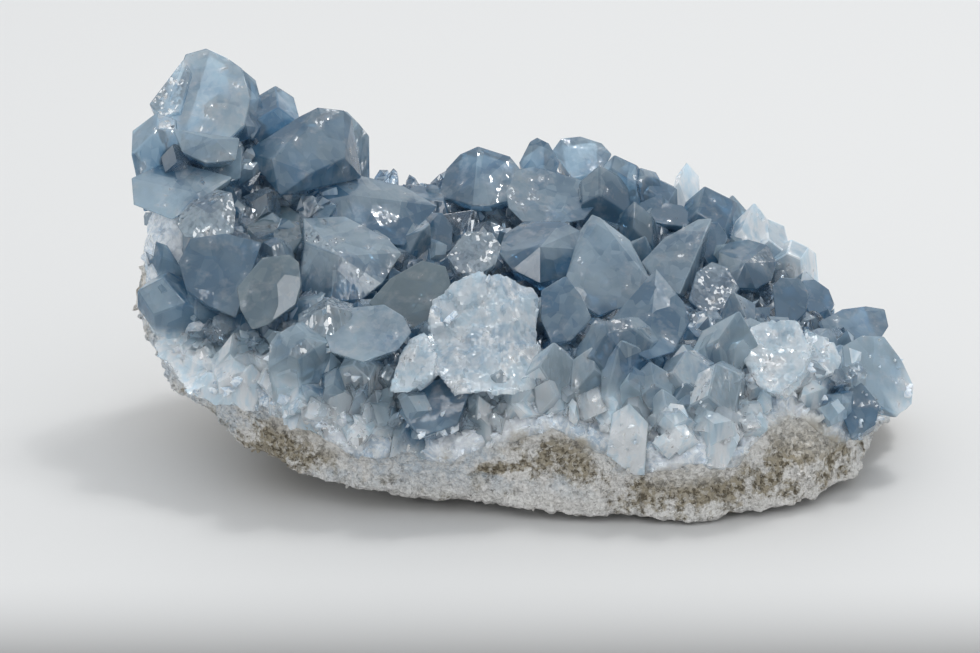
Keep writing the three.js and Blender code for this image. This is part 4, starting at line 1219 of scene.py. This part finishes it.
def floor_material(look):
    """A plain pale floor with painted shade in front of the piece, as under a lamp that stands behind it.
    """
    net = Net("pale_floor")
    along = net.coordinate(1)
    shade = net.value("POWER", net.range(along, *FLOOR_SHADE), SHADE_POWER)
    shade = net.times(shade, net.range(along, *FLOOR_SHADE_END, 1.0, 0.0))
    dark = rgb([share * SHADED_COLOUR for share in look.floor_colour])
    base = net.mix(shade, rgb(look.floor_colour), dark)
    return net.finish(net.add("ShaderNodeBsdfPrincipled", Base_Color=base, Roughness=0.6))


# The druse: small crystals scattered over the open ground by a node tree


DRUSE_FORMS = 12
DRUSE_HABITS = (WEDGE, POINT, BLOCK, ROUND)
DRUSE_THICKNESS = 0.85
DRUSE_ROOTED = 0.5
DRUSE_SEED = 900
SHARD_CORNERS = 8
SHARD_GIRTH = (1.0, 0.6, 0.5)
SHARD_OFFSET = (0.1, 0, 0)


def druse_forms(collection, sugary):
    """Small shapes, one unit long, to choose from: crystals with shards among them, or shards alone."""
    for index in range(DRUSE_FORMS):
        wide = 0.55 + 0.3 * chance(index, 5)
        finish = (chance(index, 6), 0.0, 0.1 + 0.6 * chance(index, 7), chance(index, 8) ** 3)
        stem = {"long": 1.0, "wide": wide, "thick": wide * DRUSE_THICKNESS, "buried": DRUSE_ROOTED,
                "seed": DRUSE_SEED + index, "habit": DRUSE_HABITS[index % len(DRUSE_HABITS)],
                "finish": finish}
        if sugary or index % 3 == 2:
            draws = np.array([[chance(index * 31 + k, 20 + salt) for salt in range(3)]
                              for k in range(SHARD_CORNERS)]) - 0.5
            stem["corners"] = unit_rows(draws) * SHARD_GIRTH + SHARD_OFFSET
        object_from(f"druse_form_{index}", crystal_mesh(f"druse_form_{index}", stem, 0, False), collection)


def unit_rows(vectors):
    return vectors / np.linalg.norm(vectors, axis=1, keepdims=True)


# The inputs of the scatter tree: name, kind and default
SCATTER_INPUTS = (
    ("Ground", "NodeSocketGeometry", None),
    ("Crystals per square metre", "NodeSocketFloat", 100000.0),
    ("Shortest", "NodeSocketFloat", 0.0008),
    ("Longest", "NodeSocketFloat", 0.003),
    ("Leaning", "NodeSocketFloat", 0.6),
    ("Seed", "NodeSocketInt", 1),
    ("Forms", "NodeSocketCollection", None),
    ("Listed crystals", "NodeSocketCollection", None),
    ("Kept space", "NodeSocketObject", None),
    ("Finish", "NodeSocketMaterial", None),
)

# Random values: the places of the lower limit among the inputs and of the result among the outputs
RANDOM_PLACES = {"FLOAT": (2, 1), "FLOAT_VECTOR": (0, 0)}

# Which way small crystals stray at most, how much more short ones there are, and how far they lean
STRAYING = ((-1, -1, -0.6), (1, 1, 1))
WHOLE_TURN = 6.283
SHORT_POWER = 1.8
LEANING = 0.7


def scatter_tree(name):
    """Node tree: crystals of a collection scattered over a mesh, joined with listed crystals, and cut."""
    tree = bpy.data.node_groups.new(name, "GeometryNodeTree")
    for label, kind, default in SCATTER_INPUTS:
        socket = tree.interface.new_socket(label, in_out="INPUT", socket_type=kind)
        if default is not None:
            socket.default_value = default
    tree.interface.new_socket("Crystals", in_out="OUTPUT", socket_type="NodeSocketGeometry")
    net = Nodes(tree)
    given = net.add("NodeGroupInput").outputs

    def random(kind, low, high, salt):
        first, result = RANDOM_PLACES[kind]
        seed = net.plus(given["Seed"], float(salt))
        draw = net.add("FunctionNodeRandomValue", {"data_type": kind}, Seed=seed)
        net.put(draw, f"i{first}", low)
        net.put(draw, f"i{first + 1}", high)
        return draw.outputs[result]

    openness = net.add("GeometryNodeInputNamedAttribute", {"data_type": "FLOAT"}, Name="open").outputs[0]
    density = net.times(openness, given["Crystals per square metre"])
    points = net.add("GeometryNodeDistributePointsOnFaces", {"distribute_method": "RANDOM"},
                     Mesh=given["Ground"], Density=density, Seed=given["Seed"]).outputs

    lean = net.vector("SCALE", random("FLOAT_VECTOR", *STRAYING, 11), Scale=given["Leaning"])
    upward = net.vector("ADD", points["Normal"], i1=lean)
    turned = net.add("FunctionNodeAlignRotationToVector", {"axis": "X"}, Vector=upward).outputs[0]
    spin = net.add("FunctionNodeAxisAngleToRotation", Axis=(1, 0, 0),
                   Angle=random("FLOAT", 0.0, WHOLE_TURN, 12))
    rotation = net.add("FunctionNodeRotateRotation", {"rotation_space": "LOCAL"}, Rotation=turned,
                       Rotate_By=spin.outputs[0]).outputs[0]
    draw = net.value("POWER", random("FLOAT", 0.0, 1.0, 13), SHORT_POWER)
    size = net.range(draw, 0.0, 1.0, given["Shortest"], given["Longest"])

    forms = net.add("GeometryNodeCollectionInfo", Collection=given["Forms"], Separate_Children=True)
    placed = net.add("GeometryNodeInstanceOnPoints", Points=points[0], Instance=forms.outputs[0],
                     Pick_Instance=True, Rotation=rotation, Scale=size)
    listed = net.add("GeometryNodeCollectionInfo", Collection=given["Listed crystals"],
                     Separate_Children=True)
    together = net.add("GeometryNodeJoinGeometry", i0=placed.outputs[0])
    net.put(together, "i0", listed.outputs[0])
    solver = {"solver": "MANIFOLD"}
    union = net.add("GeometryNodeMeshBoolean", {"operation": "UNION", **solver}, i1=together.outputs[0])
    tool = net.add("GeometryNodeObjectInfo", {"transform_space": "ORIGINAL"}, Object=given["Kept space"])
    cut = net.add("GeometryNodeMeshBoolean", {"operation": "INTERSECT", **solver}, i1=union.outputs[0])
    net.put(cut, "i1", tool.outputs["Geometry"])
    real = net.add("GeometryNodeRealizeInstances", Geometry=cut.outputs[0])
    finish = net.add("GeometryNodeSetMaterial", Geometry=real.outputs[0], Material=given["Finish"])
    net.add("NodeGroupOutput", i0=finish.outputs[0])
    return tree


def scattered(name, ground, settings):
    """Runs the scatter tree over a ground mesh and gives the plain mesh."""
    thing = object_from(name + "_source", ground)
    modifier = thing.modifiers.new("scatter", "NODES")
    tree = scatter_tree(name)
    modifier.node_group = tree
    for item in tree.interface.items_tree:
        if item.in_out == "INPUT" and item.name in settings:
            modifier[item.identifier] = settings[item.name]
    mesh = evaluated_mesh(thing)
    mesh.name = name
    bpy.data.objects.remove(thing)
    return mesh


# Edges that turn less than this are shaded as one soft surface
SHARP_ANGLE = math.radians(14.0)


def finished_piece(name, mesh, material, node):
    """Puts a finished mesh in the scene, with its material, and says what it belongs to."""
    piece = object_from(name, mesh)
    mesh.shade_smooth()
    mesh.set_sharp_from_angle(angle=SHARP_ANGLE)
    mesh.materials.clear()
    mesh.materials.append(material)
    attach(piece, "root")
    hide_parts(node)


# What the pieces share, worked out once
WORK = {}

# Where small crystals grow, in millimetres above the seam: from, fully from, fading from, none above
MILKY_BAND = (-0.5, 0.5, 5.0, 12.0)
BLUE_BAND = (2.5, 6.0, 60.0, 70.0)

# The same on the crystals that carry smaller ones: fading from, none above, and the share at most
CARRIED_BAND = (3.0, 8.0)
CARRIED_SHARE = 0.6

# Ground nearer to a crystal's axis than this share of its width is closed
CLOSED_SHARE = 0.15

# Shares of small crystals on the bare outer wall and on the smooth left cliff, and where that is
WALL_SHARE = 0.07
CLIFF_SHARE = 0.15
SMOOTH_CLIFF = -52.0

# Sugar fades out between these heights above the seam, and none is higher than the last
SUGAR_FADE = (5.0, 15.0)
HIGHEST_SUGAR = 28.0

# The net of the large broken crystals, and how high above the crust the crevices, with their painted
# shade, end, in millimetres
MILKY_VOXEL = 0.42
RISE_FULL = 7.0

# The shortest small crystal as a share of the longest, and how the druse is shared out
SHORTEST_SHARE = 0.25
HAZY_SHARE = 0.6
BLUE_SHARE = 0.4

# The rind's crumbs: the height from which there are any, over how far they thin out from the middle to
# the front and back, in millimetres, and the share of them at the back
CRUMBS_FROM = 1.5
CRUMBS_FADE = 10
BACK_CRUMBS = 0.25

# Where the seeds of the crystals start, and how far the seeds of the scattered ones are apart
BLOCK_SEED = 200
TONED_AND_PAINTED_LIGHT_SEED = 400
SCATTER_SEEDS = {"rind": 2, "massive": 1, "hazy_crystals": 0, "blue_crystals": 5}

# Stains are only farther out than this, a share of the reach to the girth: anywhere on the rind, and
# on the outer wall of the massive layer
RIND_STAIN_FROM = -1.0
MASSIVE_STAIN_FROM = 0.8

# The clear crystals: from this depth of colour on, with more absorption than the hazy ones
CLEAR_FROM = 0.7
CLEAR_ABSORPTION = 2.5


class CelestineSizes(bpy.types.PropertyGroup):
    """Sizes of the fine forms that finish the piece."""

    bevel: FloatProperty(
        name="Edge bevel", description="Width of the worn edge of a crystal, in millimetres",
        default=0.2, min=0.0, max=1.0)
    grain: FloatProperty(
        name="Grain", description="Strength of the granular relief of the ground", default=0.8,
        min=0.0, max=2.0)
    druse_density: FloatProperty(
        name="Druse density", description="Small crystals on a square metre", default=600000.0,
        min=0.0)
    chip_longest: FloatProperty(
        name="Longest milky chip", description="Half the length of the largest milky chips",
        default=1.7 * MM, unit="LENGTH")
    crumb_longest: FloatProperty(
        name="Longest rind crumb", description="Half the length of the largest crumbs of the rind",
        default=0.9 * MM, unit="LENGTH")
    crumb_density: FloatProperty(
        name="Crumb density", description="Crumbs of the rind on a square metre", default=330000.0,
        min=0.0)
    chip_density: FloatProperty(
        name="Chip density", description="Milky chips on a square metre", default=480000.0, min=0.0)
    druse_longest: FloatProperty(
        name="Longest druse crystal", description="Length of the largest scattered crystals",
        default=5.0 * MM, unit="LENGTH")
    seed: IntProperty(
        name="Seed", description="Choice of the scattered places", default=7)


class CelestineLook(bpy.types.PropertyGroup):
    """Colours and finish of the piece."""

    rind_beige: FloatVectorProperty(
        name="Rind beige", description="Main colour of the rind", default=(0.41, 0.36, 0.27),
        subtype="COLOR")
    rind_grey: FloatVectorProperty(
        name="Rind grey", description="Greyer patches of the rind", default=(0.86, 0.84, 0.81),
        subtype="COLOR")
    rind_pale: FloatVectorProperty(
        name="Rind pale", description="Pale grains in the rind", default=(0.90, 0.89, 0.86),
        subtype="COLOR")
    rind_olive: FloatVectorProperty(
        name="Rind olive", description="Olive-brown pits", default=(0.15, 0.125, 0.08),
        subtype="COLOR")
    massive_white: FloatVectorProperty(
        name="Massive white", description="White of the sugary layer", default=(0.77, 0.81, 0.86),
        subtype="COLOR")
    massive_blue: FloatVectorProperty(
        name="Massive blue", description="Blue of the sugary layer", default=(0.45, 0.57, 0.69),
        subtype="COLOR")
    massive_streak: FloatVectorProperty(
        name="Massive streaks", description="Whitest streaks and grains", default=(0.86, 0.90, 0.93),
        subtype="COLOR")
    hazy_pale: FloatVectorProperty(
        name="Pale hazy crystal", description="Body colour of pale hazy crystals",
        default=(0.56, 0.74, 0.86), subtype="COLOR")
    hazy_deep: FloatVectorProperty(
        name="Deep hazy crystal", description="Body colour of deeper hazy crystals",
        default=(0.10, 0.245, 0.41), subtype="COLOR")
    hazy_clearness: FloatProperty(
        name="Clearness of hazy crystals",
        description="Share of light that passes a face of a hazy crystal", default=0.65)
    crystal_pale: FloatVectorProperty(
        name="Pale crystal", description="Body colour of pale crystals", default=(0.72, 0.84, 0.93),
        subtype="COLOR")
    crystal_deep: FloatVectorProperty(
        name="Deep crystal", description="Body colour of deep blue crystals",
        default=(0.34, 0.52, 0.70), subtype="COLOR")
    crystal_smoky: FloatVectorProperty(
        name="Smoky crystal", description="Body colour of olive crystals",
        default=(0.27, 0.34, 0.34), subtype="COLOR")
    crystal_veil: FloatVectorProperty(
        name="Veils", description="Body colour of whitish veils in a crystal",
        default=(0.83, 0.87, 0.90), subtype="COLOR")
    absorbed: FloatVectorProperty(
        name="Absorption colour", description="Colour that deep crystal takes on",
        default=(0.40, 0.65, 0.80), subtype="COLOR")
    absorption: FloatProperty(
        name="Absorption", description="Density of the colour, per metre", default=85.0)
    glow_reach: FloatProperty(
        name="Glow reach", description="How far light spreads under the faces of a crystal",
        default=3.4 * MM, unit="LENGTH")
    refraction: FloatProperty(
        name="Refraction", description="Refractive index", default=1.62)
    clearness: FloatProperty(
        name="Clearness", description="Share of light that passes a face", default=0.85)
    crystal_roughness: FloatProperty(
        name="Gloss", description="Least roughness of a face", default=0.05)
    floor_colour: FloatVectorProperty(
        name="Floor", description="Colour of the floor", default=(0.70, 0.70, 0.695),
        subtype="COLOR")


def sizes():
    return bpy.context.scene.celestine_sizes


def look():
    return bpy.context.scene.celestine_look


def prepare():
    """Works out what several pieces share: the stems of all crystals and the rough ground."""
    if WORK:
        return
    stems = [block_stem(row, seed + BLOCK_SEED) for seed, row in enumerate(BLOCKS)]
    stems += [seen_stem(row, seed) for seed, row in enumerate(CRYSTALS)]
    fillers = [filler_stem(index, stems) for index in range(FILLERS["tries"])]
    faces = [block_stem(row, seed + TONED_AND_PAINTED_LIGHT_SEED) for seed, row in enumerate(TONED_AND_PAINTED_LIGHT_FACES)]
    WORK["stems"] = stems + faces
    WORK["fillers"] = [stem for stem in fillers if stem]
    WORK["body"] = ground_mesh(sizes().grain)
    WORK["above"] = seam_space(True)
    WORK["below"] = seam_space(False)


class CELESTINE_OT_rind(bpy.types.Operator):
    """Build the grey-beige rind with its pits and grains"""

    bl_idname = "celestine.rind"
    bl_label = "Rind"

    def execute(self, context):
        prepare()
        stone = boolean("stone", WORK["body"].copy(), "INTERSECT", WORK["below"].copy())
        ground = stone.copy()
        points = seen_points(ground)
        front = np.clip((MIDDLE[1] - points[:, 1]) / CRUMBS_FADE, BACK_CRUMBS, 1)
        set_values(ground, "open", "POINT", front * np.clip((points[:, 2] - CRUMBS_FROM) / 2, 0, 1))
        mesh = grow("rind", ground, [stone], sizes().crumb_density, sizes().crumb_longest, "below")
        set_stain(mesh, RIND_STAIN_FROM)
        finished_piece("rind", mesh, rind_material(look()), "matrix")
        return {"FINISHED"}


def is_broken(stem):
    return is_block(stem) and stem["finish"] == MILKY


def is_clear(stem):
    return stem["seed"] >= FILLERS["first_seed"] and stem["finish"][0] > CLEAR_FROM


def is_hazy(stem):
    return not is_clear(stem)


class CELESTINE_OT_massive(bpy.types.Operator):
    """Build the sugary massive layer with its chips"""

    bl_idname = "celestine.massive"
    bl_label = "Massive layer"

    def execute(self, context):
        prepare()
        layer = boolean("layer", WORK["body"].copy(), "INTERSECT", WORK["above"].copy())
        WORK["layer"] = layer.copy()
        stems = WORK["stems"] + WORK["fillers"]
        ground = joined("chip_ground", [layer, *crystal_meshes(stems)])
        set_open_ground(ground, stems, len(layer.vertices), *MILKY_BAND)
        mesh = grow("massive", ground, [layer], sizes().chip_density, sizes().chip_longest, "above")
        set_stain(mesh, MASSIVE_STAIN_FROM)
        finished_piece("massive", mesh, massive_material(look()), "crystals")
        return {"FINISHED"}


# Crystals from this width on, in millimetres, carry this many more on their flanks, a share of the
# girth away from the axis and with axes that stray by up to half of the last number
CARRIER_WIDTH = 6
SIDE_COUNT = 3
SIDE_OFFSET = 0.36
SIDE_STRAY = 0.12

# Their girth and length as shares of the carrier's: the least, and how much more there can be
SIDE_GIRTH = (0.22, 0.3)
SIDE_LENGTH = (0.45, 0.4)
SIDE_SEED = 2000


def side_growths(stem):
    """Smaller crystals grown parallel on the flanks of a large one."""
    grown = []
    if stem["wide"] < CARRIER_WIDTH:
        return grown
    other = np.cross(stem["axis"], stem["across"])
    for k in range(SIDE_COUNT):
        pick = [chance(stem["seed"] + 300, 10 * k + salt) for salt in range(8)]
        angle = 2 * math.pi * pick[0]
        aside = stem["across"] * math.cos(angle) * stem["wide"] + other * math.sin(angle) * stem["thick"]
        share = SIDE_GIRTH[0] + SIDE_GIRTH[1] * pick[1]
        long = stem["long"] * (SIDE_LENGTH[0] + SIDE_LENGTH[1] * pick[5])
        axis = unit(stem["axis"] + SIDE_STRAY * (np.array(pick[2:5]) - 0.5))
        across = unit(stem["across"] - axis * (stem["across"] @ axis))
        grown.append({**stem, "root": stem["root"] + aside * SIDE_OFFSET, "axis": axis, "across": across,
                      "long": long, "wide": stem["wide"] * share, "thick": stem["thick"] * share,
                      "seed": stem["seed"] + SIDE_SEED + k})
    return grown


def set_open_ground(mesh, stems, own, starts, full, fades, ends):
    """Marks how open the ground is for small crystals, by the height above the seam.

    The first points, as many as own says, are of the ground itself, which is closed under large
    crystals and barer on the outer wall. The other points are of crystals that carry smaller ones.
    """
    points = seen_points(mesh)
    nearest = np.full(len(points), FAR_OFF)
    for stem in stems:
        along = np.clip((points[:own] - stem["root"]) @ stem["axis"], 0, stem["long"])
        away = np.linalg.norm(stem["root"] + along[:, None] * stem["axis"] - points[:own], axis=1)
        nearest[:own] = np.minimum(nearest[:own], away / stem["wide"])
    bearing, reach = bearing_and_reach(points[:, 0], points[:, 1])
    above = seam_gap_height(points)
    outside = (reach > rim_at(bearing, "crest")) & (np.sin(bearing) > FILLERS["bare_wall"])
    openness = np.clip((nearest - CLOSED_SHARE) * 6, 0, 1)
    openness *= np.interp(above, (starts, full, fades, ends), (0, 1, 1, 0))
    openness[own:] *= np.interp(above[own:], CARRIED_BAND, (CARRIED_SHARE, 0))
    openness *= np.where(outside, WALL_SHARE, 1.0)
    openness *= np.clip((points[:, 0] - SMOOTH_CLIFF) / 6, CLIFF_SHARE, 1)
    set_values(mesh, "open", "POINT", openness)


def set_rise(mesh):
    """How far each point stands above the crust: 0 in the crevices, 1 at RISE_FULL and more; the crystals'
    material paints shade in the crevices from it.
    """
    points = seen_points(mesh)
    bearing, reach = bearing_and_reach(points[:, 0], points[:, 1])
    rise = points[:, 2] - crust_height(bearing, reach)
    outer = (reach / rim_at(bearing, "girth") - 0.9) * HALF_DEPTH
    set_values(mesh, "rise", "POINT", np.clip(np.maximum(rise, outer) / RISE_FULL, 0, 1))


def set_sugar(mesh):
    """How sugary each point is: 1 at the seam of the broken front, 0 high up and on the other sides."""
    points = seen_points(mesh)
    bearing, reach = bearing_and_reach(points[:, 0], points[:, 1])
    above = seam_gap_height(points) + 2.5 * lumps(points / 6 + 21)
    front = np.clip((-np.sin(bearing) - 0.05) * 4, 0, 1) * np.clip((reach - 0.55) * 5, 0, 1)
    front *= np.clip((HIGHEST_SUGAR - points[:, 2]) / 6, 0, 1)
    front *= 1 - np.clip(1.6 * nearness(points, CLEAR_PLACES), 0, 1)
    set_values(mesh, "sugar", "POINT", front * np.interp(above, SUGAR_FADE, (1, 0)))


def grow(name, ground, listed, density, longest, space, sugary=True):
    """Scatters small crystals over the ground and joins them with the listed meshes, inside a space."""
    group = bpy.data.collections.new(name + "_listed")
    forms = bpy.data.collections.new(name + "_forms")
    for collection in (group, forms):
        bpy.context.scene.collection.children.link(collection)
    for index, mesh in enumerate(listed):
        object_from(f"{name}_{index}", mesh, group)
    druse_forms(forms, sugary)
    tool = object_from("space", WORK[space].copy())
    mesh = scattered(name, ground, {
        "Crystals per square metre": density,
        "Shortest": longest * SHORTEST_SHARE,
        "Longest": longest,
        "Leaning": LEANING,
        "Seed": sizes().seed + SCATTER_SEEDS[name],
        "Forms": forms,
        "Listed crystals": group,
        "Kept space": tool,
    })
    discard(tool, *forms.objects, *group.objects)
    bpy.data.collections.remove(forms)
    bpy.data.collections.remove(group)
    return mesh


def crystal_meshes(stems):
    """The meshes of crystals, with worn edges on all but the narrow ones."""
    bevels = [sizes().bevel if stem["wide"] > NARROWEST_WORN else 0 for stem in stems]
    return [crystal_mesh(f"crystal_{stem['seed']}", stem, bevel) for stem, bevel in zip(stems, bevels)]


def crust_piece(name, chosen, share, material):
    """One kind of the crystals, with small ones of its kind between them, as a finished piece."""
    stems = [stem for stem in WORK["stems"] + WORK["fillers"] if chosen(stem)]
    broken = [stem for stem in stems if is_broken(stem)]
    whole = [stem for stem in stems if not is_broken(stem)]
    grown = [side for stem in whole if not is_block(stem) for side in side_growths(stem)]
    listed = crystal_meshes(whole + grown)
    if broken:
        listed.append(rugged("broken", crystal_meshes(broken), MILKY_VOXEL, sizes().grain))
    ground = WORK["layer"].copy()
    set_open_ground(ground, WORK["stems"] + WORK["fillers"], len(ground.vertices), *BLUE_BAND)
    density = sizes().druse_density * share
    mesh = grow(name, ground, listed, density, sizes().druse_longest, "above", False)
    set_rise(mesh)
    set_sugar(mesh)
    finished_piece(name, mesh, material, "crystals")


class CELESTINE_OT_crystals(bpy.types.Operator):
    """Build the hazy and the clear blue crystals, large and small"""

    bl_idname = "celestine.crystals"
    bl_label = "Crystals"

    def execute(self, context):
        prepare()
        given = look()
        hazy = crystal_material(given, "hazy_celestine", given.hazy_clearness, given.hazy_pale,
                                given.hazy_deep, given.absorption)
        clear = crystal_material(given, "clear_celestine", given.clearness, given.crystal_pale,
                                 given.crystal_deep, given.absorption * CLEAR_ABSORPTION)
        crust_piece("hazy_crystals", is_hazy, HAZY_SHARE, hazy)
        crust_piece("blue_crystals", is_clear, BLUE_SHARE, clear)
        return {"FINISHED"}


# The stage, in metres: the floor's corners, what the lamps aim at, and what the camera is clipped at
FLOOR_CORNERS = ((-3, -3, 0), (3, -3, 0), (3, 5, 0), (-3, 5, 0))
LAMP_AIM = (0, 0, 0.02)
CLIP_START = 0.01

# Round lamps: name, place, diameter, power, and whether they shade matt faces and show in glossy ones
LAMPS = (
    ("top_softbox", (0.22, 0.20, 0.75), 0.24, 1.5, True, False),
    ("top_sparkle", (0.20, 0.16, 0.75), 0.045, 0.35, True, True),
    ("front_softbox", (0.10, -0.50, 0.60), 0.34, 1.0, False, True),
)

# The sky: where it is brightest, over which cosines it brightens, how strong it is there, its colour
SKY_BRIGHTEST = (-0.15, 0.45, 0.9)
SKY_SPAN = (-0.35, 0.95)
SKY_STRENGTH = (0.62, 1.0)
SKY_COLOUR = (0.96, 0.98, 1.0)


def sky():
    """A pale world, brighter above and behind the piece."""
    world = bpy.data.worlds.new("studio")
    world.use_nodes = True
    net = Nodes(world.node_tree)
    place = net.add("ShaderNodeTexCoord").outputs["Generated"]
    facing = net.add("ShaderNodeVectorMath", {"operation": "DOT_PRODUCT"}, i0=place,
                     i1=unit(np.array(SKY_BRIGHTEST))).outputs["Value"]
    shade = net.add("ShaderNodeBackground", Color=rgb(SKY_COLOUR),
                    Strength=net.range(facing, *SKY_SPAN, *SKY_STRENGTH))
    net.add("ShaderNodeOutputWorld", Surface=shade.outputs[0])
    return world


def lamp(name, place, size, power, shading, mirrored):
    """A round lamp that aims at the piece."""
    light = bpy.data.lights.new(name, "AREA")
    light.shape = "DISK"
    light.size = size
    light.energy = power
    thing = object_from(name, light)
    thing.visible_diffuse = shading
    thing.visible_glossy = mirrored
    thing.location = place
    thing.rotation_euler = (Vector(LAMP_AIM) - Vector(place)).to_track_quat("-Z", "Y").to_euler()


def camera():
    """The camera that the piece is seen with from the front."""
    lens = bpy.data.cameras.new("camera")
    lens.sensor_width = SENSOR_WIDTH
    lens.lens = SENSOR_WIDTH * PIXELS_PER_UNIT_SLOPE / FRAME_WIDTH
    lens.clip_start = CLIP_START
    thing = object_from("camera", lens)
    thing.location = to_part(EYE)
    thing.rotation_euler = (math.pi / 2 - VIEW_TILT, 0, 0)
    return thing


class CELESTINE_OT_stage(bpy.types.Operator):
    """Set up the pale floor, the soft lights and the camera"""

    bl_idname = "celestine.stage"
    bl_label = "Stage"

    def execute(self, context):
        scene = context.scene
        floor = object_from("floor", mesh_from("floor", np.array(FLOOR_CORNERS, float), [(0, 1, 2, 3)]))
        floor.data.materials.append(floor_material(look()))
        scene.world = sky()
        for row in LAMPS:
            lamp(*row)
        scene.camera = camera()
        scene.view_settings.view_transform = "Standard"
        for key, count in LIGHT_BOUNCES.items():
            setattr(scene.cycles, key, count)
        return {"FINISHED"}


class CELESTINE_PT_panel(bpy.types.Panel):
    """Lists the pieces in the sidebar"""

    bl_label = "Celestine crust"
    bl_idname = "CELESTINE_PT_panel"
    bl_space_type = "VIEW_3D"
    bl_region_type = "UI"
    bl_category = "Celestine"

    def draw(self, context):
        for group in (context.scene.celestine_sizes, context.scene.celestine_look):
            for key in group.__annotations__:
                self.layout.prop(group, key)
        for operator in OPERATORS:
            self.layout.operator(operator.bl_idname)


OPERATORS = (CELESTINE_OT_rind, CELESTINE_OT_massive, CELESTINE_OT_crystals, CELESTINE_OT_stage)
CLASSES = (CelestineSizes, CelestineLook, *OPERATORS, CELESTINE_PT_panel)


def register():
    for each in CLASSES:
        bpy.utils.register_class(each)
    bpy.types.Scene.celestine_sizes = PointerProperty(type=CelestineSizes)
    bpy.types.Scene.celestine_look = PointerProperty(type=CelestineLook)


def unregister():
    del bpy.types.Scene.celestine_look
    del bpy.types.Scene.celestine_sizes
    for each in reversed(CLASSES):
        bpy.utils.unregister_class(each)


def main():
    register()
    bpy.ops.celestine.rind()
    bpy.ops.celestine.massive()
    bpy.ops.celestine.crystals()
    bpy.ops.celestine.stage()


if __name__ == "__main__":
    main()
